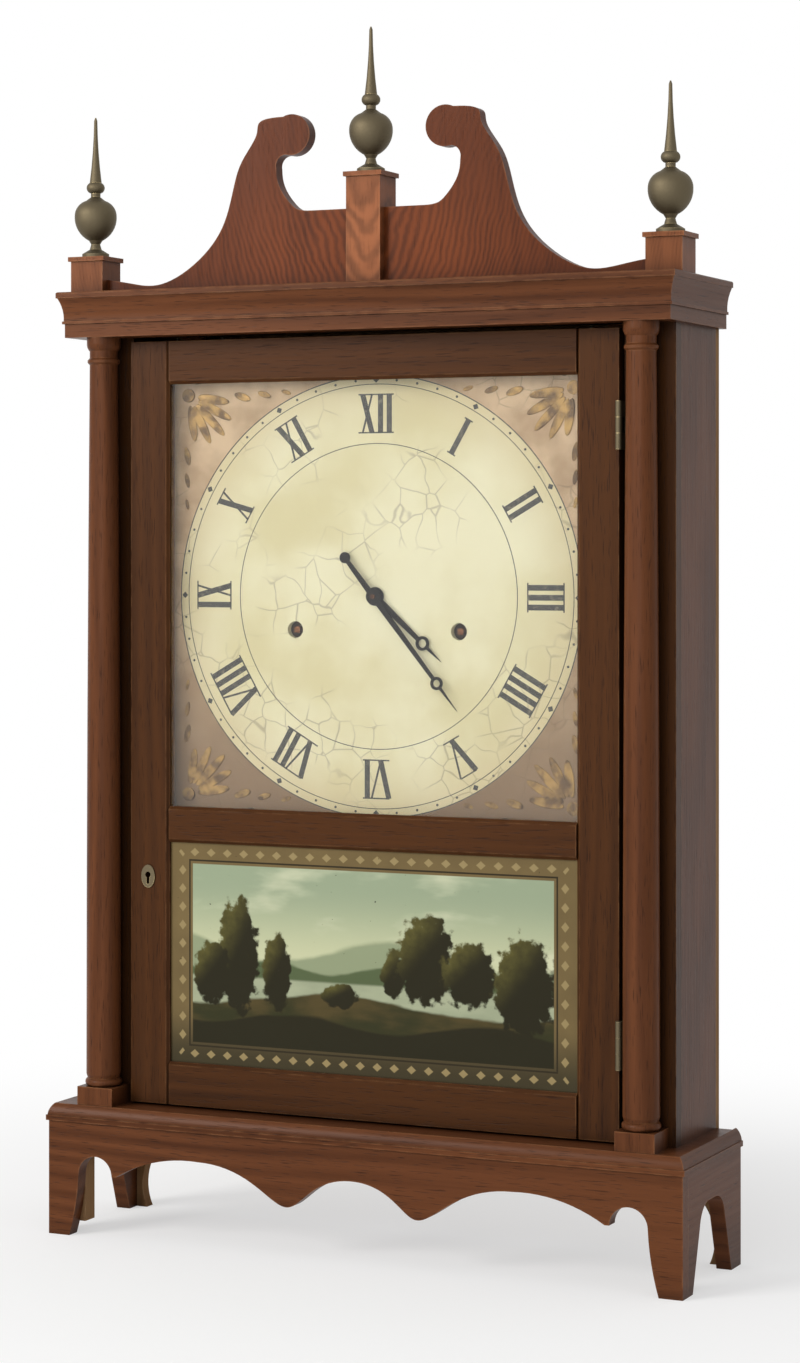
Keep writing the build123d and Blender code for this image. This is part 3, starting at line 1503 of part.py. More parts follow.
weight_low = shelf_top + weight_floor_gap
hook_top = weight_low + weight_high + hook_high
for side, train in ((1, "time"), (-1, "strike")):
    with BuildPart() as weight:
        with BuildSketch(Plane.XY.offset(weight_low)):
            with Locations((side * weight_x, cord_y)):
                RectangleRounded(weight_wide, weight_deep, 5.0)
        extrude(amount=weight_high)
        chamfer(weight.faces().sort_by(Axis.Z)[-1].edges(), 2.0)
        with BuildSketch(upright(cord_y + wire_r, side * weight_x, weight_low + weight_high)):
            with BuildLine():
                Line((-4.0, -1.0), (-4.0, hook_high - 4.0))
                ThreePointArc((-4.0, hook_high - 4.0), (0, hook_high), (4.0, hook_high - 4.0))
                Line((4.0, hook_high - 4.0), (4.0, -1.0))
                Line((4.0, -1.0), (4.0 - 2 * wire_r, -1.0))
                Line((4.0 - 2 * wire_r, -1.0), (4.0 - 2 * wire_r, hook_high - 4.0))
                ThreePointArc(
                    (4.0 - 2 * wire_r, hook_high - 4.0),
                    (0, hook_high - 2 * wire_r),
                    (-4.0 + 2 * wire_r, hook_high - 4.0),
                )
                Line((-4.0 + 2 * wire_r, hook_high - 4.0), (-4.0 + 2 * wire_r, -1.0))
                Line((-4.0 + 2 * wire_r, -1.0), (-4.0, -1.0))
            make_face()
        extrude(amount=2 * wire_r)
    weight.part.label = f"weight_{train}"
    export_step(weight.part, f"parts/weight_{train}.step")

# Cords: each leaves the top of its drum, rises to its pulley, bends over it and drops
# straight to its weight

drum_hold = drum_r + fit + cord_r
with BuildPart() as cord_runs:
    for side in (-1, 1):
        dx = pulley_x - great[0]
        dz = axle_z - great[1]
        tangent = degrees(atan2(dz, dx)) + degrees(acos((drum_hold - pulley_r) / hypot(dx, dz)))
        off_drum = polar(great, drum_hold, tangent)
        on_pulley = polar((pulley_x, axle_z), pulley_r, tangent)
        over_pulley = polar((pulley_x, axle_z), pulley_r, tangent / 2)
        with BuildLine() as route:
            Line((side * off_drum[0], cord_y, off_drum[1]), (side * on_pulley[0], cord_y, on_pulley[1]))
            ThreePointArc(
                (side * on_pulley[0], cord_y, on_pulley[1]),
                (side * over_pulley[0], cord_y, over_pulley[1]),
                (side * (pulley_x + pulley_r), cord_y, axle_z),
            )
        with BuildSketch(Plane(origin=route.line @ 0, z_dir=route.line % 0)):
            Circle(cord_r)
        sweep()
cord_runs.part.label = "cord_runs"
export_step(cord_runs.part, "parts/cord_runs.step")
print("cord arc radius", pulley_r)

for side, train in ((1, "time"), (-1, "strike")):
    with BuildPart() as cord_drop:
        with BuildSketch(Plane.XY.offset(hook_top)):
            with Locations((side * weight_x, cord_y)):
                Circle(cord_r)
        extrude(amount=axle_z - hook_top)
    cord_drop.part.label = f"cord_drop_{train}"
    export_step(cord_drop.part, f"parts/cord_drop_{train}.step")
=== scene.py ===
# %% [markdown]
# This lesson dresses a shelf clock of about 1820: a dark mahogany case with a scroll
# pediment, brass urns, turned pillars, a painted dial and a painted glass tablet. The
# construction comes from a CAD model, which stays as it is. Blender adds the finish of
# every surface and the thin painted or fixed details that the model leaves out.

# %% Load the clock
import math
import bpy
from mathutils import Matrix, Vector


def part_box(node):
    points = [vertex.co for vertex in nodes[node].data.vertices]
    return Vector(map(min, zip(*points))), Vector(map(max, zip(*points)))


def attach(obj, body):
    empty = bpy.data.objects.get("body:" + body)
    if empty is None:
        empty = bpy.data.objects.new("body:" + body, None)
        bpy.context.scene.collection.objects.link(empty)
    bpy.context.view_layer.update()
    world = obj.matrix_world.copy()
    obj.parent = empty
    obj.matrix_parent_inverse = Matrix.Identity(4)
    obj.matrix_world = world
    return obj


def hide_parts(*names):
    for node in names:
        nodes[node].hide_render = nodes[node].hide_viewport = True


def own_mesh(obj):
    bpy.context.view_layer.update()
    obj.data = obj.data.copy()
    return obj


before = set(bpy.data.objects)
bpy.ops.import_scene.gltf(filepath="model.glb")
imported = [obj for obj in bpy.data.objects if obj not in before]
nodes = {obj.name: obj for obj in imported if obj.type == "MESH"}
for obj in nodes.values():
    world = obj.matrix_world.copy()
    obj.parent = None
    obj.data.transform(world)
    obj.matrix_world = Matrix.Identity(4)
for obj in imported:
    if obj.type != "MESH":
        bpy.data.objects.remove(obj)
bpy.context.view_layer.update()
bpy.ops.object.select_all(action="DESELECT")

# %% [markdown]
# The camera stands to the clock's right, at the height of the dial, and looks level.
# A level camera keeps upright edges upright, and the lens is shifted down instead of
# tilted, as a view camera would be, to bring in the feet.

# %% Camera
camera_place = Vector((0.8719, -1.8755, 0.4578))
camera_look = Vector((-0.4274, 0.9041, 0.0))
camera = bpy.data.objects.new("camera", bpy.data.cameras.new("camera"))
bpy.context.scene.collection.objects.link(camera)
camera.location = camera_place
camera.rotation_mode = "QUATERNION"
camera.rotation_quaternion = camera_look.to_track_quat("-Z", "Y")
camera.data.sensor_width = 36.0
camera.data.lens = 84.44
camera.data.shift_x = 0.0248
camera.data.shift_y = -0.1032
bpy.context.scene.camera = camera
bpy.context.scene.view_settings.view_transform = "Standard"

# %% [markdown]
# Every material here is a small network of nodes. Short helpers keep the networks
# readable: they add a node with its settings and values, do a sum, mix two colours, start
# a material with its main shader, or give a CAD piece its finish.

# %% Node helpers


def add(tree, kind, values=None, **settings):
    """A new node in tree, with its settings, and with values or links for its inputs."""
    made = tree.nodes.new(kind)
    for name, value in settings.items():
        setattr(made, name, value)
    for socket, value in (values or {}).items():
        if isinstance(value, bpy.types.NodeSocket):
            tree.links.new(value, made.inputs[socket])
        else:
            made.inputs[socket].default_value = value
    return made


def math_node(tree, operation, a, b=0.0, c=0.0, clamp=False):
    """The result of one sum on two or three numbers or sockets."""
    made = add(tree, "ShaderNodeMath", {0: a, 1: b, 2: c}, operation=operation, use_clamp=clamp)
    return made.outputs[0]


def mix_colour(tree, share, first, second, blend="MIX"):
    """The second colour laid over the first by share."""
    values = {0: share, 6: first, 7: second}
    made = add(tree, "ShaderNodeMix", values, data_type="RGBA", blend_type=blend)
    return made.outputs[2]


def ramp(tree, share, low, high):
    """0 below low, 1 above high, and a smooth change between them."""
    values = {"Value": share, "From Min": low, "From Max": high}
    made = add(tree, "ShaderNodeMapRange", values, interpolation_type="SMOOTHSTEP")
    return made.outputs["Result"]


def start_group(name, inputs, outputs):
    """An empty shader group, and its inputs by name. Each output is wired later, by finish_group."""
    group = bpy.data.node_groups.new(name, "ShaderNodeTree")
    for label, kind, value in inputs:
        socket = group.interface.new_socket(name=label, in_out="INPUT", socket_type=kind)
        if value is not None:
            socket.default_value = value
    for label, kind in outputs:
        group.interface.new_socket(name=label, in_out="OUTPUT", socket_type=kind)
    return group, group.nodes.new("NodeGroupInput").outputs


def finish_group(group, results):
    """Wires the group's results to its outputs."""
    end = group.nodes.new("NodeGroupOutput")
    for label, socket in results.items():
        group.links.new(socket, end.inputs[label])


def use_group(tree, name, values=None):
    """The outputs of a shared group placed in a material."""
    made = tree.nodes.new("ShaderNodeGroup")
    made.node_tree = bpy.data.node_groups[name]
    for socket, value in (values or {}).items():
        if isinstance(value, bpy.types.NodeSocket):
            tree.links.new(value, made.inputs[socket])
        else:
            made.inputs[socket].default_value = value
    return made.outputs


def start_material(name, **values):
    """A material with one main shader, and its tree and shader."""
    material = bpy.data.materials.new(name)
    material.use_nodes = True
    tree = material.node_tree
    tree.nodes.clear()
    shader = tree.nodes.new("ShaderNodeBsdfPrincipled")
    for label, value in values.items():
        shader.inputs[label.replace("_", " ")].default_value = value
    end = tree.nodes.new("ShaderNodeOutputMaterial")
    tree.links.new(shader.outputs[0], end.inputs[0])
    return material, tree, shader


def place_vector(tree, rotation=(0.0, 0.0, 0.0), offset=(0.0, 0.0, 0.0)):
    """The piece's own coordinates in metres, turned and shifted for a pattern."""
    own = add(tree, "ShaderNodeTexCoord").outputs["Object"]
    made = add(tree, "ShaderNodeMapping", {"Vector": own, "Location": offset, "Rotation": rotation})
    return made.outputs[0]


def noise(tree, vector, scale, detail=2.0, stretch=(1.0, 1.0, 1.0)):
    """Cloudy noise from 0 to 1. A stretch below 1 draws it out along that axis."""
    drawn = add(tree, "ShaderNodeVectorMath", {0: vector, 1: stretch}, operation="MULTIPLY").outputs[0]
    made = add(tree, "ShaderNodeTexNoise", {"Vector": drawn, "Scale": scale, "Detail": detail})
    return made.outputs[0]


def relief(tree, shader, height, depth):
    """Feeds a height map, in shares of depth in metres, to the shader as a bump."""
    made = add(tree, "ShaderNodeBump", {"Strength": 1.0, "Distance": depth, "Height": height})
    tree.links.new(made.outputs[0], shader.inputs["Normal"])


def dress(material, *names):
    """Gives the named CAD nodes one material."""
    for name in names:
        mesh = nodes[name].data
        mesh.materials.clear()
        mesh.materials.append(material)


# %% [markdown]
# Old varnished edges are rubbed paler, and the paler edges also stand for light that
# catches them, as a painted highlight. The hollows beside mouldings are darkened, partly as
# dark wax and partly as painted shade. Both need to know where the edges are. The Bevel
# node gives a normal that is rounded near an edge, so the angle between it and the true
# normal marks the edges, and the Ambient Occlusion node marks the hollows.

# %% Worn edges with painted highlight, hollows with painted shade
group, given = start_group(
    "wear_and_painted_light",
    [("Vector", "NodeSocketVector", None), ("Width", "NodeSocketFloat", 0.001)],
    [("Edge", "NodeSocketFloat"), ("Hollow", "NodeSocketFloat")],
)
true_normal = add(group, "ShaderNodeNewGeometry").outputs["Normal"]
round_normal = add(group, "ShaderNodeBevel", {"Radius": given["Width"]}, samples=4).outputs[0]
values = {0: true_normal, 1: round_normal}
agreement = add(group, "ShaderNodeVectorMath", values, operation="DOT_PRODUCT")
# Edge marks paler rubbed wood that is also a painted highlight; Hollow, from ambient occlusion, is painted
# shade in the woods and the dull film in the metals.
near_edge = ramp(group, math_node(group, "SUBTRACT", 1.0, agreement.outputs["Value"]), 0.01, 0.12)
rubbed_and_lit = ramp(group, noise(group, given["Vector"], 90.0, 3.0), 0.35, 0.62)
closed = add(group, "ShaderNodeAmbientOcclusion", {"Distance": 0.012}, samples=4, only_local=False)
openness = ramp(group, closed.outputs["AO"], 0.25, 0.95)
edge = math_node(group, "MULTIPLY", math_node(group, "MULTIPLY", near_edge, rubbed_and_lit), openness)
hollow = math_node(group, "SUBTRACT", 1.0, openness)
finish_group(group, {"Edge": edge, "Hollow": hollow})

# %% [markdown]
# Wood is the main surface. Along its grain everything is drawn out: broad bands where
# the saw crossed the growth rings, fine fibres, and short open pores. The group builds
# these for a grain that runs along Z, and each material turns the coordinates so that
# the grain follows its own board.

# %% Wood grain
group, given = start_group(
    "wood_grain",
    [
        ("Vector", "NodeSocketVector", None),
        ("Pale", "NodeSocketColor", (0.10, 0.03, 0.012, 1.0)),
        ("Dark", "NodeSocketColor", (0.04, 0.012, 0.005, 1.0)),
        ("Band Scale", "NodeSocketFloat", 30.0),
        ("Pores", "NodeSocketFloat", 0.5),
    ],
    [("Color", "NodeSocketColor"), ("Height", "NodeSocketFloat"), ("Roughness", "NodeSocketFloat")],
)
drift = noise(group, given["Vector"], 5.0, 2.0, (1.0, 1.0, 0.25))
values = {0: given["Vector"], 1: (1.0, 0.7, 0.06)}
wander = add(group, "ShaderNodeVectorMath", values, operation="MULTIPLY")
shift = math_node(group, "MULTIPLY", drift, 0.09)
moved = add(group, "ShaderNodeVectorMath", {0: wander.outputs[0], 1: shift}, operation="ADD").outputs[0]
bands = add(
    group,
    "ShaderNodeTexWave",
    {"Vector": moved, "Scale": given["Band Scale"], "Distortion": 3.0, "Detail": 3.0, "Detail Scale": 2.0},
    wave_type="BANDS",
    bands_direction="X",
).outputs[1]
fibres = noise(group, given["Vector"], 420.0, 3.0, (1.0, 1.0, 0.025))
pore_spots = ramp(group, noise(group, given["Vector"], 1500.0, 1.0, (1.0, 1.0, 0.05)), 0.6, 0.72)
patches = noise(group, given["Vector"], 9.0, 3.0, (1.0, 1.0, 0.4))
clearness = ramp(group, noise(group, given["Vector"], 17.0, 2.0, (1.0, 1.0, 0.15)), 0.32, 0.66)
bands = math_node(group, "MULTIPLY", bands, clearness)
shade = math_node(group, "MULTIPLY_ADD", bands, 0.45, math_node(group, "MULTIPLY", fibres, 0.6))
shade = math_node(group, "MULTIPLY_ADD", patches, 0.5, math_node(group, "SUBTRACT", shade, 0.28), clamp=True)
stained = mix_colour(group, shade, given["Pale"], given["Dark"])
pored = math_node(group, "MULTIPLY", pore_spots, given["Pores"])
colour = mix_colour(group, pored, stained, (0.008, 0.003, 0.002, 1.0))
height = math_node(group, "SUBTRACT", math_node(group, "MULTIPLY", fibres, 0.5), pored)
rough = math_node(group, "MULTIPLY_ADD", fibres, 0.18, 0.24)
finish_group(group, {"Color": colour, "Height": height, "Roughness": rough})

# %% [markdown]
# The pediment and the plinths are veneered with wood from a fork of the tree. Its
# figure looks like a flame: curved plumes that rise to the middle and shimmer from pale
# to dark. A wave whose phase follows the height, less a curve that grows with the
# distance from the middle, gives such plumes.

# %% Flame figure
group, given = start_group(
    "flame_figure",
    [("Vector", "NodeSocketVector", None), ("Scale", "NodeSocketFloat", 22.0)],
    [("Plume", "NodeSocketFloat")],
)
parts = add(group, "ShaderNodeSeparateXYZ", {0: given["Vector"]}).outputs
curve = math_node(group, "POWER", math_node(group, "ABSOLUTE", parts[0]), 1.5)
rise = math_node(group, "SUBTRACT", parts[2], math_node(group, "MULTIPLY", curve, 9.0))
rise = math_node(group, "MULTIPLY_ADD", noise(group, given["Vector"], 19.0, 4.0), 0.07, rise)
phase = add(group, "ShaderNodeCombineXYZ", {0: rise}).outputs[0]
plume = add(
    group,
    "ShaderNodeTexWave",
    {"Vector": phase, "Scale": given["Scale"], "Distortion": 1.5, "Detail": 2.0},
    bands_direction="X",
).outputs[1]
shimmer = math_node(group, "MULTIPLY", noise(group, given["Vector"], 60.0, 3.0, (1.0, 1.0, 0.2)), 0.65)
finish_group(group, {"Plume": math_node(group, "MULTIPLY_ADD", plume, 0.42, shimmer)})

# %% [markdown]
# One function makes every finished wood. It is given the direction of the grain and the
# pale, dark and edge tones. It adds paler edges, partly rubbed and partly a painted
# highlight, and darker hollows, partly dark wax and partly painted shade. It also adds a
# coat of old shellac. A moulding that turns a corner has its grain along the front on one
# side of the mitre and along the depth on the other, so its coordinates are swapped where
# the surface faces sideways.

# %% Finished woods
quarter = math.pi / 2
grain_turns = {"up": (0.0, 0.0, 0.0), "across": (0.0, quarter, 0.0), "deep": (quarter, 0.0, 0.0)}


def finished_wood(name, grain, pale, dark, rubbed_and_lit, coat=0.04, flame=0.0, band=30.0, pores=0.5, rough=0.0):
    """A wood with its grain up, across, deep or mitred, worn, with painted highlight on its edges and painted
    shade in its hollows, and coated.
    """
    material, tree, shader = start_material(name, Coat_Weight=coat, Coat_Roughness=0.28)
    shader.inputs["IOR"].default_value = 1.45
    shader.inputs["Specular IOR Level"].default_value = 0.07
    if grain == "mitred":
        facing = add(tree, "ShaderNodeNewGeometry").outputs["Normal"]
        sideways = math_node(tree, "ABSOLUTE", add(tree, "ShaderNodeSeparateXYZ", {0: facing}).outputs[0])
        turned = math_node(tree, "GREATER_THAN", sideways, 0.75)
        front = place_vector(tree, grain_turns["across"])
        side = place_vector(tree, grain_turns["deep"])
        vector = add(tree, "ShaderNodeMix", {0: turned, 4: front, 5: side}, data_type="VECTOR").outputs[1]
    else:
        vector = place_vector(tree, grain_turns[grain])
    wood = use_group(
        tree,
        "wood_grain",
        {"Vector": vector, "Pale": pale, "Dark": dark, "Band Scale": band, "Pores": pores},
    )
    colour = wood["Color"]
    if flame > 0.0:
        own = place_vector(tree, offset=(0.0, 0.0, -0.62))
        plume = use_group(tree, "flame_figure", {"Vector": own})["Plume"]
        values = {0: own, 1: (1.0, 0.0, 1.5)}
        flat = add(tree, "ShaderNodeVectorMath", values, operation="MULTIPLY").outputs[0]
        from_middle = add(tree, "ShaderNodeVectorMath", {0: flat}, operation="LENGTH").outputs["Value"]
        near_middle = ramp(tree, from_middle, 0.15, 0.05)
        lit = math_node(tree, "MULTIPLY", ramp(tree, plume, 0.15, 0.85), flame)
        bright = mix_colour(tree, near_middle, pale, [shade * 2.1 for shade in pale[:3]] + [1.0])
        colour = mix_colour(tree, lit, colour, bright)
    wear_and_light = use_group(tree, "wear_and_painted_light", {"Vector": vector, "Width": 0.0016})
    # Painted shade: the hollows found by ambient occlusion are darkened to near black, which partly stands for
    # dark wax. Painted highlight: the edges are laid over with the pale edge tone, which is partly rubbed
    # wood.
    wax_and_painted_shade = math_node(tree, "MULTIPLY", wear_and_light["Hollow"], 0.6)
    colour = mix_colour(tree, wax_and_painted_shade, colour, (0.006, 0.003, 0.002, 1.0))
    colour = mix_colour(tree, math_node(tree, "MULTIPLY", wear_and_light["Edge"], 0.7), colour, rubbed_and_lit)
    tree.links.new(colour, shader.inputs["Base Color"])
    tree.links.new(math_node(tree, "ADD", wood["Roughness"], rough), shader.inputs["Roughness"])
    relief(tree, shader, wood["Height"], 0.00012)
    return material


# Each set of tones is the pale and the dark of the wood, then the pale edge tone, which is partly rubbed wood
# and partly painted highlight.
case_tones = ((0.135, 0.046, 0.017, 1.0), (0.052, 0.0165, 0.006, 1.0), (0.24, 0.105, 0.045, 1.0))
stile_tones = ((0.074, 0.026, 0.007, 1.0), (0.033, 0.012, 0.004, 1.0), (0.18, 0.085, 0.034, 1.0))
flame_tones = ((0.110, 0.026, 0.006, 1.0), (0.046, 0.011, 0.003, 1.0), (0.26, 0.105, 0.045, 1.0))
plinth_tones = ((0.210, 0.072, 0.028, 1.0), (0.095, 0.030, 0.011, 1.0), (0.34, 0.16, 0.075, 1.0))
mahogany_up = finished_wood("mahogany_upright", "up", *case_tones)
mahogany_across = finished_wood("mahogany_across", "across", *case_tones)
mahogany_mitred = finished_wood("mahogany_mitred", "mitred", *case_tones)
stile_wood = finished_wood("mahogany_stiles", "up", *stile_tones)
rail_wood = finished_wood("mahogany_rails", "across", *stile_tones)
mahogany_flame = finished_wood("mahogany_flame", "up", *flame_tones, flame=0.6)
mahogany_bright = finished_wood("mahogany_plinths", "up", *plinth_tones, flame=0.5)
dress(mahogany_up, "case_sides", "pillar_left", "pillar_right")
dress(stile_wood, "front_stiles", "door_stile_left", "door_stile_right")
dress(rail_wood, "door_rails")
dress(mahogany_across, "apron_front", "base_shelf")
dress(mahogany_mitred, "base_moulding", "cornice", "side_aprons")
dress(mahogany_flame, "scroll_board")
dress(mahogany_bright, "plinths")

# %% [markdown]
# The boards that nobody was meant to see are plain pine, only planed, gone brown with
# age. The plates of the movement are sawn oak and its wheels are cherry. They share the
# grain group with paler tones, and have no shellac.

# %% Plain woods
pine_tones = ((0.34, 0.20, 0.095, 1.0), (0.17, 0.085, 0.036, 1.0), (0.42, 0.28, 0.15, 1.0))
oak_tones = ((0.30, 0.17, 0.075, 1.0), (0.13, 0.065, 0.027, 1.0), (0.36, 0.23, 0.12, 1.0))
cherry_tones = ((0.30, 0.115, 0.042, 1.0), (0.15, 0.05, 0.018, 1.0), (0.38, 0.19, 0.09, 1.0))
pine_up = finished_wood("pine_upright", "up", *pine_tones, coat=0.0, band=22.0, pores=0.1, rough=0.38)
pine_across = finished_wood("pine_across", "across", *pine_tones, coat=0.0, band=22.0, pores=0.1, rough=0.38)
oak_plate = finished_wood("oak_plates", "up", *oak_tones, coat=0.0, band=26.0, pores=0.6, rough=0.34)
cherry = finished_wood("cherry_wheels", "across", *cherry_tones, coat=0.0, band=34.0, pores=0.2, rough=0.24)
dress(pine_up, "backboard", "movement_rails", "foot_blocks")
dress(pine_across, "case_top", "dial_rail", "glazing_beads")
dress(oak_plate, "front_plate", "back_plate")
wheel_names = ["time_great_wheel", "strike_great_wheel", "time_second_wheel", "third_wheel", "centre_wheel"]
wheel_names += ["pin_wheel", "warning_wheel", "minute_wheel", "hour_wheel", "cannon_pinion", "fly"]
wheel_names += ["time_drum", "strike_drum", "pulley_time", "pulley_strike"]
dress(cherry, *wheel_names)

# %% [markdown]
# The urns, hinges and bob are cast brass that has not been polished for years. Clean
# metal shows only where hands have rubbed it, and a dull brown film lies
# over the rest, so roughness and colour change together.

# %% Metals


def aged_metal(name, bright, film, share, rough, grit=60.0, depth=0.00008):
    """A metal with a dull film over part of it and fine pits."""
    material, tree, shader = start_material(name, Metallic=1.0)
    vector = place_vector(tree)
    cloud = noise(tree, vector, grit, 5.0)
    pits = noise(tree, vector, 900.0, 2.0)
    wear_and_light = use_group(tree, "wear_and_painted_light", {"Vector": vector, "Width": 0.0008})
    covered = ramp(tree, math_node(tree, "MULTIPLY_ADD", pits, 0.3, cloud), 0.85 - share, 1.05 - share)
    covered = math_node(tree, "MULTIPLY", covered, math_node(tree, "SUBTRACT", 1.0, wear_and_light["Edge"]))
    covered = math_node(tree, "MAXIMUM", covered, wear_and_light["Hollow"])
    tree.links.new(mix_colour(tree, covered, bright, film), shader.inputs["Base Color"])
    tree.links.new(math_node(tree, "MULTIPLY_ADD", covered, 0.3, rough), shader.inputs["Roughness"])
    relief(tree, shader, math_node(tree, "ADD", cloud, pits), depth)
    return material


brass = aged_metal("aged_brass", (0.50, 0.39, 0.20, 1.0), (0.13, 0.105, 0.065, 1.0), 0.62, 0.3)
steel = aged_metal("plain_steel", (0.42, 0.41, 0.39, 1.0), (0.16, 0.12, 0.09, 1.0), 0.25, 0.3)
iron = aged_metal("cast_iron", (0.12, 0.11, 0.10, 1.0), (0.05, 0.035, 0.026, 1.0), 0.5, 0.45, 120.0, 0.0004)
blued = aged_metal("blackened_hands", (0.035, 0.034, 0.036, 1.0), (0.02, 0.016, 0.014, 1.0), 0.3, 0.32)
dress(brass, "finials", "case_pins", "hinge_case_leaves", "hinge_door_leaves", "escutcheon", "pendulum_bob")
dress(steel, "lock_case", "lock_bolt", "pendulum_rod", "verge", "hammer", "escape_wheel")
dress(iron, "bell", "weight_time", "weight_strike")
dress(blued, "hour_hand", "minute_hand")

# %% [markdown]
# The dial pane is old blown glass: clear, a little green, and not quite flat, which a
# very low, slow bump gives. It is thin, so light passes almost straight through.

# %% Clear glass
material, tree, shader = start_material("old_glass", Transmission_Weight=1.0, Roughness=0.0, IOR=1.45)
shader.inputs["Base Color"].default_value = (0.97, 0.985, 0.975, 1.0)
relief(tree, shader, noise(tree, place_vector(tree), 14.0, 2.0, (1.0, 1.0, 0.5)), 0.0004)
dress(material, "door_glass")

# %% [markdown]
# The weights hang on braided linen cord, brown with handling. A wave across the cord's
# length gives the turns of the braid, and the same wave paints the grooves between the
# turns darker, as painted shade.

# %% Linen cord
material, tree, shader = start_material("linen_cord", Roughness=0.85)
vector = place_vector(tree, (0.0, 0.6, 0.0))
turns = add(tree, "ShaderNodeTexWave", {"Vector": vector, "Scale": 260.0}, bands_direction="Z").outputs[1]
# Painted shade: the grooves of the braid take the darker brown, and the tops of the turns take the paler.
linen = mix_colour(tree, turns, (0.16, 0.11, 0.06, 1.0), (0.42, 0.34, 0.22, 1.0))
tree.links.new(linen, shader.inputs["Base Color"])
relief(tree, shader, turns, 0.0003)
dress(material, "cord_runs")

# %% [markdown]
# The straight drop of each cord gets shorter as its weight is wound up. Each drop is made
# again here as a round cord of the same size, which rides with the case.

# %% Cord drops
linen_cord = material
for train in ("time", "strike"):
    drop_low, drop_high = (Vector(corner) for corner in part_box(f"cord_drop_{train}"))
    size = drop_high - drop_low
    place = (drop_low + drop_high) / 2
    bpy.ops.mesh.primitive_cylinder_add(vertices=20, radius=size.x / 2, depth=size.z, location=place)
    drop = bpy.context.object
    drop.name = f"cord_drop_{train}_linen"
    bpy.ops.object.transform_apply(location=True, rotation=True, scale=True)
    drop.data.materials.append(linen_cord)
    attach(drop, "case")
    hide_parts(f"cord_drop_{train}")
    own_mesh(drop)
    print("cord drop", train, [round(value, 4) for value in size])

# %% [markdown]
# The dial is a board painted in the cream of old lead white. The ground has yellowed in
# clouds and is a little browner near the edge, and fine cracks run through it. Outside
# the ring, the corners have a gilt-brown ground. The distance from the dial's centre
# decides which ground shows, so one material paints both.

# %% Dial ground
dial_low, dial_high = (Vector(corner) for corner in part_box("dial"))
dial_front = dial_low.y
dial_centre = (0.0, (dial_low.z + dial_high.z) / 2)
ring_radius = 0.1425


def tone(code):
    """A linear colour from a six-figure screen colour."""
    shares = [int(code[at:at + 2], 16) / 255 for at in (0, 2, 4)]
    return tuple(((share + 0.055) / 1.055) ** 2.4 for share in shares) + (1.0,)


group, given = start_group(
    "fine_cracks",
    [("Vector", "NodeSocketVector", None), ("Scale", "NodeSocketFloat", 70.0)],
    [("Crack", "NodeSocketFloat")],
)
warp = noise(group, given["Vector"], 40.0, 2.0)
bent = add(group, "ShaderNodeVectorMath", {0: given["Vector"], 1: math_node(group, "MULTIPLY", warp, 0.012)})
values = {"Vector": bent.outputs[0], "Scale": given["Scale"]}
cells = add(group, "ShaderNodeTexVoronoi", values, feature="DISTANCE_TO_EDGE").outputs["Distance"]
crack = math_node(group, "SUBTRACT", 1.0, ramp(group, cells, 0.004, 0.03))
broken = ramp(group, noise(group, given["Vector"], 18.0, 2.0), 0.48, 0.62)
finish_group(group, {"Crack": math_node(group, "MULTIPLY", crack, broken)})

material, tree, shader = start_material("dial_ground", Coat_Weight=0.08, Coat_Roughness=0.3)
shader.inputs["Specular IOR Level"].default_value = 0.3
own = place_vector(tree)
centred = place_vector(tree, offset=(0.0, 0.0, -dial_centre[1]))
flat = add(tree, "ShaderNodeVectorMath", {0: centred, 1: (1.0, 0.0, 1.0)}, operation="MULTIPLY").outputs[0]
radius = add(tree, "ShaderNodeVectorMath", {0: flat}, operation="LENGTH").outputs["Value"]
clouds = noise(tree, own, 16.0, 4.0)
cream = mix_colour(tree, ramp(tree, clouds, 0.35, 0.7), tone("EFE6C2"), tone("DDD0A0"))
cream = mix_colour(tree, ramp(tree, radius, 0.10, 0.16), cream, tone("D8C596"))
mottled = ramp(tree, noise(tree, own, 45.0, 4.0), 0.3, 0.7)
gilt_ground = mix_colour(tree, mottled, tone("D8B892"), tone("B5936E"))
lower = add(tree, "ShaderNodeSeparateXYZ", {0: centred}).outputs[2]
gilt_ground = mix_colour(tree, ramp(tree, lower, 0.02, -0.14), gilt_ground, tone("8A6C4C"))
ground = mix_colour(tree, ramp(tree, radius, ring_radius - 0.0002, ring_radius + 0.0002), cream, gilt_ground)
cracks = use_group(tree, "fine_cracks", {"Vector": own, "Scale": 55.0})["Crack"]
ground = mix_colour(tree, math_node(tree, "MULTIPLY", cracks, 0.4), ground, tone("7A6444"))
tree.links.new(ground, shader.inputs["Base Color"])
tree.links.new(math_node(tree, "MULTIPLY_ADD", clouds, 0.25, 0.35), shader.inputs["Roughness"])
relief(tree, shader, math_node(tree, "SUBTRACT", clouds, cracks), 0.00008)
dress(material, "dial")

# %% [markdown]
# The figures are strokes of thin black paint. Each Roman numeral is put together from
# leaning bars, thick and thin as a brush makes them, between two fine serif lines. A bar
# is a plane that Solidify makes a tenth of a millimetre thick, and each kind of bar has
# its own thickness, so that bars that cross never share a face.

# %% Strokes of paint
paint_y = dial_front
paint_thick = 0.0001


def select_only(*pieces):
    """Selects these pieces, and makes the first one active."""
    bpy.ops.object.select_all(action="DESELECT")
    for piece in pieces:
        piece.select_set(True)
    bpy.context.view_layer.objects.active = pieces[0]


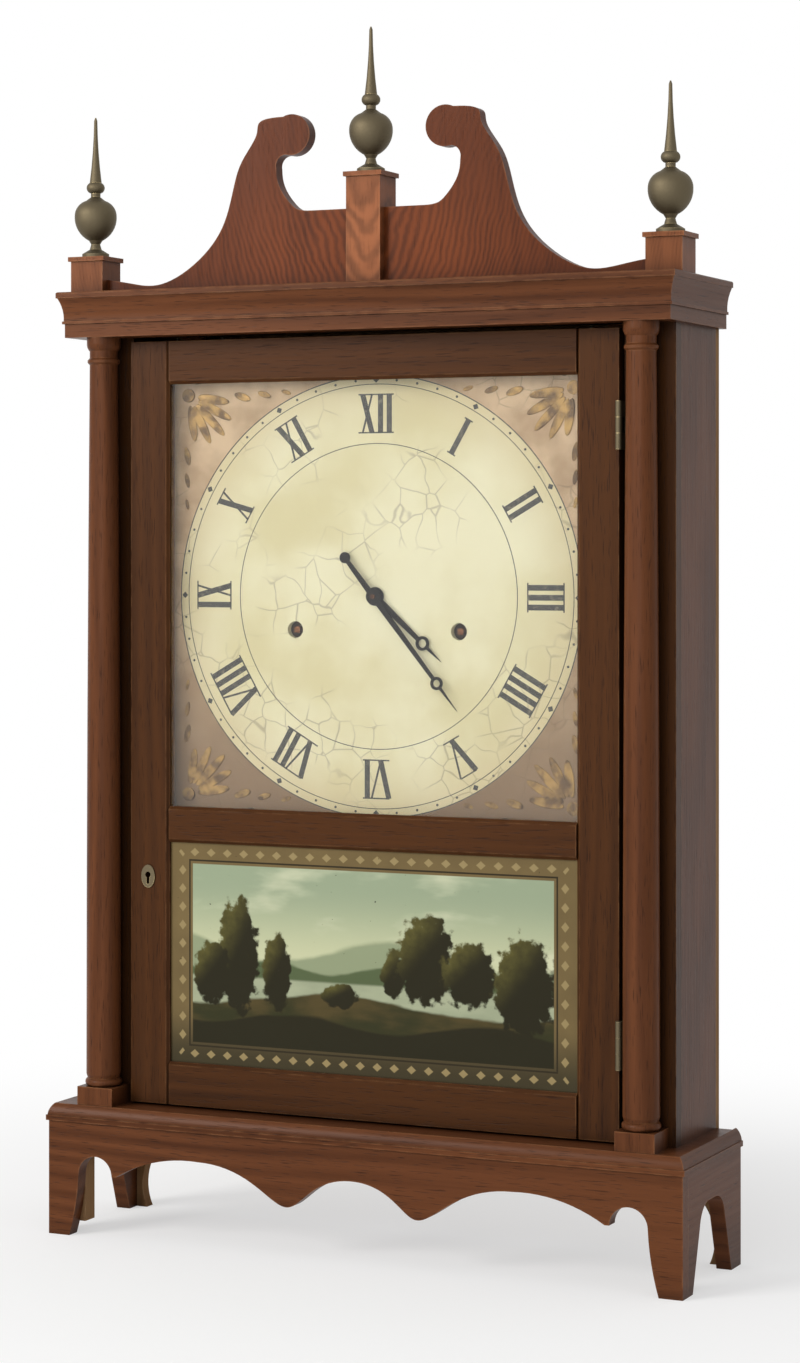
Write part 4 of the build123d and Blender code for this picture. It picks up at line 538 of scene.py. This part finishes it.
def flat_piece(name, sides, width, height, at, lean=0.0, thick=paint_thick):
    """A flat disc or oval in the plane of the dial, with its back on the dial."""
    place = (at[0], paint_y, at[1])
    bpy.ops.mesh.primitive_circle_add(vertices=sides, radius=1.0, fill_type="NGON", location=place)
    piece = bpy.context.object
    piece.name = name
    piece.rotation_euler = (quarter, lean, 0.0)
    piece.scale = (width / 2, height / 2, 1.0)
    return finish_flat(piece, thick)


def finish_flat(piece, thick):
    """Moves a flat piece's place into its mesh and gives it its thickness, to the front."""
    select_only(piece)
    bpy.ops.object.transform_apply(location=True, rotation=True, scale=True)
    solid = piece.modifiers.new("thickness", "SOLIDIFY")
    solid.thickness = thick
    solid.offset = 1.0
    bpy.ops.object.modifier_apply(modifier=solid.name)
    return piece


def bar(width, height, at, lean=0.0, thick=paint_thick):
    """An upright bar of paint, a plane with its own width and height."""
    place = (at[0], paint_y, at[1])
    bpy.ops.mesh.primitive_plane_add(size=1.0, location=place, rotation=(quarter, lean, 0.0))
    piece = bpy.context.object
    piece.scale = (width, height, 1.0)
    return finish_flat(piece, thick)


def joined(name, pieces):
    """Joins pieces into the first one, under a new name."""
    select_only(*pieces)
    bpy.ops.object.join()
    pieces[0].name = name
    return pieces[0]


# %% [markdown]
# Numerals stand with their feet to the centre, so the ones at the bottom are upside
# down. Each is built upright at twelve o'clock, where it is easy to lay out, and its
# mesh is then turned about the dial's centre.

# %% Numerals
numeral_high = 0.0245
numeral_radius = 0.1175
thick_width, thin_width = 0.0036, 0.0013
serif_high = 0.0009
thick_paint, thin_paint, serif_paint = 0.00012, 0.00009, 0.00015
glyph_wide = {"I": 0.0062, "V": 0.0125, "X": 0.0125}


def glyph_bars(letter, x, z):
    """The bars of one letter, with its middle at x and z."""
    lean = math.atan2(glyph_wide[letter] * 0.52, numeral_high)
    long = numeral_high / math.cos(lean)
    if letter == "I":
        return [bar(thick_width, numeral_high, (x, z), thick=thick_paint)]
    if letter == "X":
        heavy = bar(thick_width, long, (x, z), -lean, thick_paint)
        return [heavy, bar(thin_width, long, (x, z), lean, thin_paint)]
    reach = glyph_wide["V"] * 0.24
    heavy = bar(thick_width, long, (x - reach, z), -lean / 1.1, thick_paint)
    return [heavy, bar(thin_width, long, (x + reach, z), lean, thin_paint)]


def turned_about_centre(piece, degrees_past_twelve):
    """Turns a mesh clockwise about the middle of the dial."""
    out = Matrix.Translation((0.0, 0.0, dial_centre[1]))
    turn = Matrix.Rotation(math.radians(degrees_past_twelve), 4, "Y")
    piece.data.transform(out @ turn @ out.inverted())


numerals = []
for hour, letters in enumerate("XII I II III IIII V VI VII VIII IX X XI".split()):
    wide = sum(glyph_wide[letter] for letter in letters)
    across = -wide / 2
    height = dial_centre[1] + numeral_radius
    bars = []
    for letter in letters:
        bars += glyph_bars(letter, across + glyph_wide[letter] / 2, height)
        across += glyph_wide[letter]
    for end in (-1, 1):
        at = (0.0, height + end * numeral_high / 2)
        bars.append(bar(wide, serif_high, at, thick=serif_paint))
    numeral = joined(f"numeral_{letters}", bars)
    turned_about_centre(numeral, hour * 30)
    numerals.append(numeral)
print("numerals", len(numerals))

# %% [markdown]
# The minute marks lie between two fine rings: a dot for each minute and a diamond for
# every fifth. A third ring runs inside the hours. A ring is the edge of a circle,
# extruded and drawn inwards.

# %% Minute ring
ring_width, fine_ring_width = 0.0007, 0.0005
ring_gap = 0.0058
hour_ring_radius = 0.0985
mark_inset = 0.0032
diamond_side, dot_wide = 0.0030, 0.0017


def ring(name, outer, width, thick=paint_thick):
    """A flat ring about the dial's centre."""
    place = (dial_centre[0], paint_y, dial_centre[1])
    bpy.ops.mesh.primitive_circle_add(vertices=160, radius=outer, fill_type="NOTHING", location=place)
    piece = bpy.context.object
    piece.name = name
    bpy.ops.object.mode_set(mode="EDIT")
    bpy.ops.mesh.select_all(action="SELECT")
    bpy.ops.mesh.extrude_edges_move()
    inner = (outer - width) / outer
    bpy.ops.transform.resize(value=(inner, inner, inner), center_override=place)
    bpy.ops.mesh.select_all(action="SELECT")
    bpy.ops.mesh.normals_make_consistent(inside=False)
    bpy.ops.object.mode_set(mode="OBJECT")
    piece.rotation_euler = (quarter, 0.0, 0.0)
    select_only(piece)
    bpy.ops.object.transform_apply(location=True, rotation=True, scale=True)
    if piece.data.polygons[0].normal.y > 0:
        piece.data.flip_normals()
    return finish_flat(piece, thick)


outer_ring = ring("ring_outer", ring_radius, ring_width)
inner_ring = ring("ring_inner", ring_radius - ring_gap, fine_ring_width)
marks = []
for minute in range(60):
    at = (0.0, dial_centre[1] + ring_radius - mark_inset)
    if minute % 5 == 0:
        mark = bar(diamond_side, diamond_side, at, math.pi / 4)
    else:
        mark = flat_piece("dot", 10, dot_wide, dot_wide, at)
    turned_about_centre(mark, minute * 6)
    marks.append(mark)
minute_marks = joined("minute_marks", marks)
hour_ring = ring("ring_hours", hour_ring_radius, fine_ring_width)
print("minute marks", len(marks))

# %% [markdown]
# Gilt ornament in low relief fills the corners: a fan of leaves that opens from each
# corner, with smaller leaves along the two sides. One leaf is a long flat oval whose rim
# is bevelled, so that it catches the light. One loop lays out all four corners, with the
# places of the leaves mirrored and not their meshes.

# %% Corner ornament
corner_x, corner_z = 0.1365, 0.1315
leaf_thick = 0.0007
fan_leaves, fan_turn, fan_start = 5, 18, 9
fan_reach, fan_swell, fan_leaf_wide = 0.027, 0.010, 0.0062
spray_leaves, spray_start, spray_step = 3, 0.040, 0.016
spray_leaf, spray_shrink, spray_drift = 0.0125, 0.0025, 0.0012
boss_wide, boss_thick = 0.009, 0.0012


def leaf(at, length, width, angle):
    """A gilt leaf with a rounded rim, its length along angle in degrees from upright."""
    piece = flat_piece("leaf", 14, width, length, at, math.radians(angle), leaf_thick)
    soft = piece.modifiers.new("rim", "BEVEL")
    soft.width = leaf_thick * 0.8
    soft.segments = 2
    soft.limit_method = "ANGLE"
    select_only(piece)
    bpy.ops.object.modifier_apply(modifier=soft.name)
    return piece


ornaments = []
for side in (-1, 1):
    for end in (-1, 1):
        leaves = []
        for step in range(fan_leaves):
            inward = math.radians(fan_start + fan_turn * step)
            reach = fan_reach + fan_swell * math.sin(2 * inward)
            along = (math.sin(inward), math.cos(inward))
            at_x = side * (corner_x - along[0] * reach * 0.62)
            at_z = dial_centre[1] + end * (corner_z - along[1] * reach * 0.62)
            angle = side * end * math.degrees(inward)
            leaves.append(leaf((at_x, at_z), reach * 0.8, fan_leaf_wide, angle))
        for step in range(spray_leaves):
            away = spray_start + spray_step * step
            size = spray_leaf - spray_shrink * step
            at_z = dial_centre[1] + end * (corner_z - 0.0015 + spray_drift * step)
            leaves.append(leaf((side * (corner_x - away), at_z), size, size * 0.4, side * end * 72))
            at_z = dial_centre[1] + end * (corner_z - away)
            leaves.append(leaf((side * (corner_x + 0.001), at_z), size, size * 0.35, side * end * 12))
        at = (side * corner_x, dial_centre[1] + end * corner_z)
        leaves.append(flat_piece("boss", 16, boss_wide, boss_wide, at, 0.0, boss_thick))
        ornaments.append(joined(f"corner_ornament_{len(ornaments) + 1}", leaves))
print("corner ornaments", len(ornaments))

# %% [markdown]
# Black dial paint has dried to a dark grey-brown and is thin in places. The gilding is
# worn to a brownish gold, paler and darker in patches.

# %% Paint and gilding
material, tree, shader = start_material("black_paint", Roughness=0.5)
own = place_vector(tree)
thin = ramp(tree, noise(tree, own, 260.0, 4.0), 0.5, 0.75)
tree.links.new(mix_colour(tree, thin, tone("37322B"), tone("7A705C")), shader.inputs["Base Color"])
relief(tree, shader, thin, 0.00005)
for piece in numerals + [outer_ring, inner_ring, hour_ring, minute_marks]:
    piece.data.materials.clear()
    piece.data.materials.append(material)
    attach(piece, "case")

material, tree, shader = start_material("old_gilding", Metallic=0.55)
own = place_vector(tree)
worn = ramp(tree, noise(tree, own, 120.0, 4.0), 0.35, 0.65)
tree.links.new(mix_colour(tree, worn, tone("B08A4E"), tone("6E5234")), shader.inputs["Base Color"])
tree.links.new(math_node(tree, "MULTIPLY_ADD", worn, 0.2, 0.4), shader.inputs["Roughness"])
relief(tree, shader, worn, 0.0001)
for piece in ornaments:
    piece.data.materials.clear()
    piece.data.materials.append(material)
    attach(piece, "case")

# %% [markdown]
# The lower glass is painted on its back with a quiet river landscape inside a broad olive
# border. The picture is a stack of masks in one material: sky, far hills, water, near
# bank and trees, each laid over the last. A small group draws a tree as an oval whose
# edge is roughened by noise, and gives a darker and a lighter side.

# %% Painted landscape
group, given = start_group(
    "painted_tree",
    [
        ("Vector", "NodeSocketVector", None),
        ("Place", "NodeSocketVector", None),
        ("Half Size", "NodeSocketVector", None),
    ],
    [("Mask", "NodeSocketFloat"), ("Light", "NodeSocketFloat")],
)
values = {0: given["Vector"], 1: given["Place"]}
away = add(group, "ShaderNodeVectorMath", values, operation="SUBTRACT").outputs[0]
values = {0: away, 1: given["Half Size"]}
share = add(group, "ShaderNodeVectorMath", values, operation="DIVIDE").outputs[0]
distance = add(group, "ShaderNodeVectorMath", {0: share}, operation="LENGTH").outputs["Value"]
ragged = noise(group, given["Vector"], 150.0, 4.0)
distance = math_node(group, "MULTIPLY_ADD", ragged, 0.9, math_node(group, "SUBTRACT", distance, 0.45))
mask = math_node(group, "SUBTRACT", 1.0, ramp(group, distance, 0.85, 1.0))
parts = add(group, "ShaderNodeSeparateXYZ", {0: share}).outputs
toward_light = math_node(group, "MULTIPLY_ADD", parts[0], -0.8, parts[2])
lit = ramp(group, toward_light, 0.0, 1.2)
finish_group(group, {"Mask": mask, "Light": math_node(group, "MULTIPLY", lit, ragged)})

tablet_low, tablet_high = (Vector(corner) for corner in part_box("door_tablet"))
tablet_z = (tablet_low.z + tablet_high.z) / 2
border_x, border_z = 0.1275, 0.0585
trees = (
    ((-0.094, 0.000), (0.016, 0.040)),
    ((-0.066, -0.010), (0.011, 0.026)),
    ((-0.113, -0.012), (0.014, 0.022)),
    ((0.018, -0.006), (0.010, 0.016)),
    ((0.040, 0.004), (0.022, 0.030)),
    ((0.070, -0.004), (0.020, 0.022)),
    ((0.108, -0.010), (0.022, 0.034)),
    ((-0.020, -0.022), (0.014, 0.008)),
)

material, tree, shader = start_material("tablet_painting", Coat_Weight=0.08, Coat_Roughness=0.06)
shader.inputs["Specular IOR Level"].default_value = 0.1
own = place_vector(tree, offset=(0.0, 0.0, -tablet_z))
plane = add(tree, "ShaderNodeVectorMath", {0: own, 1: (1.0, 0.0, 1.0)}, operation="MULTIPLY").outputs[0]
parts = add(tree, "ShaderNodeSeparateXYZ", {0: plane}).outputs
brush = noise(tree, plane, 60.0, 4.0, (0.35, 1.0, 1.0))
picture = mix_colour(tree, ramp(tree, parts[2], -0.01, 0.05), tone("BCBE99"), tone("8C987D"))
cloud = ramp(tree, noise(tree, plane, 30.0, 4.0, (0.4, 1.0, 1.3)), 0.5, 0.68)
picture = mix_colour(tree, math_node(tree, "MULTIPLY", cloud, 0.6), picture, tone("C8C9AA"))


def below(tree, line, softness=0.0012):
    """1 under a height that is a number or a socket, and 0 over it."""
    gap = math_node(tree, "SUBTRACT", parts[2], line)
    return math_node(tree, "SUBTRACT", 1.0, ramp(tree, gap, -softness, softness))


def wavy(tree, height, swing, pace, shift):
    """A gently wavy line across the picture."""
    angle = math_node(tree, "MULTIPLY_ADD", parts[0], pace, shift)
    wave = math_node(tree, "MULTIPLY_ADD", math_node(tree, "SINE", angle), swing, height)
    return math_node(tree, "MULTIPLY_ADD", brush, 0.008, wave)


picture = mix_colour(tree, below(tree, wavy(tree, 0.002, 0.008, 38.0, 1.0), 0.002), picture, tone("868F70"))
picture = mix_colour(tree, below(tree, wavy(tree, -0.010, 0.004, 70.0, 0.3)), picture, tone("4E5A3C"))
water = mix_colour(tree, brush, tone("AEB294"), tone("757F66"))
picture = mix_colour(tree, below(tree, -0.014), picture, water)
bank = mix_colour(tree, ramp(tree, brush, 0.35, 0.65), tone("2E2E17"), tone("4A3F22"))
picture = mix_colour(tree, below(tree, wavy(tree, -0.031, 0.005, 30.0, 2.2)), picture, bank)
for (tree_x, tree_z), (half_wide, half_high) in trees:
    values = {"Vector": plane, "Place": (tree_x, 0.0, tree_z), "Half Size": (half_wide, 1.0, half_high)}
    drawn = use_group(tree, "painted_tree", values)
    leaves = mix_colour(tree, drawn["Light"], tone("221F0E"), tone("6A6431"))
    picture = mix_colour(tree, drawn["Mask"], picture, leaves)
picture = mix_colour(tree, below(tree, wavy(tree, -0.044, 0.004, 45.0, 4.0)), picture, tone("23200F"))

# %% [markdown]
# The border is stencilled: olive ground, a fine dark line beside the picture and a row of
# small lozenges. The distance to the border's inner edge, the larger of the two distances
# along x and z, draws all of them.

# %% Painted border
past_x = math_node(tree, "SUBTRACT", math_node(tree, "ABSOLUTE", parts[0]), border_x)
past_z = math_node(tree, "SUBTRACT", math_node(tree, "ABSOLUTE", parts[2]), border_z)
past = math_node(tree, "MAXIMUM", past_x, past_z)
olive = mix_colour(tree, noise(tree, plane, 35.0, 4.0), tone("75633F"), tone("5A4B2F"))
sunk = mix_colour(tree, ramp(tree, parts[2], -0.03, -0.07), olive, tone("3A3320"))
lozenge_pitch = 0.012
lozenge_row, lozenge_half, line_place = 0.0075, 0.0024, 0.0022
on_side = math_node(tree, "GREATER_THAN", past_x, past_z)
along = add(tree, "ShaderNodeMix", {0: on_side, 2: parts[0], 3: parts[2]}).outputs[0]
pitch_share = math_node(tree, "FRACT", math_node(tree, "MULTIPLY", along, 1 / lozenge_pitch))
steps = math_node(tree, "ABSOLUTE", math_node(tree, "SUBTRACT", pitch_share, 0.5))
from_row = math_node(tree, "ABSOLUTE", math_node(tree, "SUBTRACT", past, lozenge_row))
lozenge = math_node(tree, "ADD", math_node(tree, "MULTIPLY", steps, 0.010), from_row)
lozenge_mask = ramp(tree, lozenge, lozenge_half + 0.0006, lozenge_half)
sunk = mix_colour(tree, lozenge_mask, sunk, tone("8C7B54"))
from_line = math_node(tree, "ABSOLUTE", math_node(tree, "SUBTRACT", past, line_place))
fine_line = ramp(tree, from_line, 0.0007, 0.0004)
sunk = mix_colour(tree, fine_line, sunk, tone("2B2415"))
painted = mix_colour(tree, ramp(tree, past, -0.0002, 0.0002), picture, sunk)
flaked = ramp(tree, noise(tree, plane, 320.0, 3.0), 0.72, 0.76)
painted = mix_colour(tree, flaked, painted, tone("2A2418"))
tree.links.new(painted, shader.inputs["Base Color"])
tree.links.new(math_node(tree, "MULTIPLY_ADD", brush, 0.2, 0.3), shader.inputs["Roughness"])
dress(material, "door_tablet")

# %% [markdown]
# The clock stands on a pale floor in soft studio light. Near the clock the floor is half
# matte, which takes the shadow, and half glowing white. Further out it fades to the white
# of the background, so that no horizon shows.

# %% Floor
floor_radius = 9.0
fade_near, fade_far = 0.15, 0.85
bpy.ops.mesh.primitive_circle_add(vertices=64, radius=floor_radius, fill_type="NGON", location=(0.0, 0.0, 0.0))
floor = bpy.context.object
floor.name = "studio_floor"
floor_paint = bpy.data.materials.new("studio_floor")
floor_paint.use_nodes = True
tree = floor_paint.node_tree
tree.nodes.clear()
matte = add(tree, "ShaderNodeBsdfDiffuse", {"Color": (0.95, 0.95, 0.95, 1.0)})
glow = add(tree, "ShaderNodeEmission", {"Color": (1.0, 1.0, 1.0, 1.0), "Strength": 1.0})
distance = add(tree, "ShaderNodeVectorMath", {0: place_vector(tree)}, operation="LENGTH").outputs["Value"]
rays = add(tree, "ShaderNodeLightPath").outputs
seen = math_node(tree, "MAXIMUM", rays["Is Camera Ray"], rays["Is Glossy Ray"])
seen = math_node(tree, "MAXIMUM", seen, rays["Is Transmission Ray"])
lifted = math_node(tree, "MULTIPLY_ADD", ramp(tree, distance, fade_near, fade_far), 0.5, 0.5)
fade = math_node(tree, "MULTIPLY", lifted, seen)
blend = add(tree, "ShaderNodeMixShader", {0: fade, 1: matte.outputs[0], 2: glow.outputs[0]})
end = add(tree, "ShaderNodeOutputMaterial", {0: blend.outputs[0]})
floor.data.materials.append(floor_paint)

# %% [markdown]
# The world is a soft light, stronger from above, but plain white where the camera looks
# at it directly, through the glass or in a reflection. A large lamp from the left is the
# key light, and a larger and weaker one from the front opens the shadows.

# %% Light
world = bpy.data.worlds.new("studio")
bpy.context.scene.world = world
world.use_nodes = True
tree = world.node_tree
tree.nodes.clear()
rays = add(tree, "ShaderNodeLightPath").outputs
clear_view = math_node(tree, "MAXIMUM", rays["Is Camera Ray"], rays["Is Transmission Ray"])
direction = add(tree, "ShaderNodeTexCoord").outputs["Generated"]
upward = add(tree, "ShaderNodeSeparateXYZ", {0: direction}).outputs[2]
overhead = ramp(tree, upward, -0.2, 0.9)
soft = math_node(tree, "MULTIPLY_ADD", overhead, 0.35, 0.22)
clear_view = math_node(tree, "MAXIMUM", clear_view, rays["Is Glossy Ray"])
level = math_node(tree, "MAXIMUM", soft, clear_view)
sky = add(tree, "ShaderNodeBackground", {"Color": (1.0, 1.0, 1.0, 1.0), "Strength": level})
add(tree, "ShaderNodeOutputWorld", {0: sky.outputs[0]})


def soft_lamp(name, place, target, size, power, tint=(1.0, 1.0, 1.0)):
    """A large square lamp that faces target."""
    lamp = bpy.data.objects.new(name, bpy.data.lights.new(name, "AREA"))
    bpy.context.scene.collection.objects.link(lamp)
    lamp.data.size = size
    lamp.data.energy = power
    lamp.data.color = tint
    lamp.location = place
    lamp.rotation_mode = "QUATERNION"
    lamp.rotation_quaternion = (Vector(target) - Vector(place)).to_track_quat("-Z", "Y")
    return lamp


middle = (0.0, 0.0, 0.4)
soft_lamp("key_lamp", (-1.7, -2.4, 1.6), middle, 1.3, 66.0, (1.0, 0.985, 0.96))
soft_lamp("fill_lamp", (0.4, -2.9, 1.0), middle, 1.8, 22.0, (0.97, 0.985, 1.0))
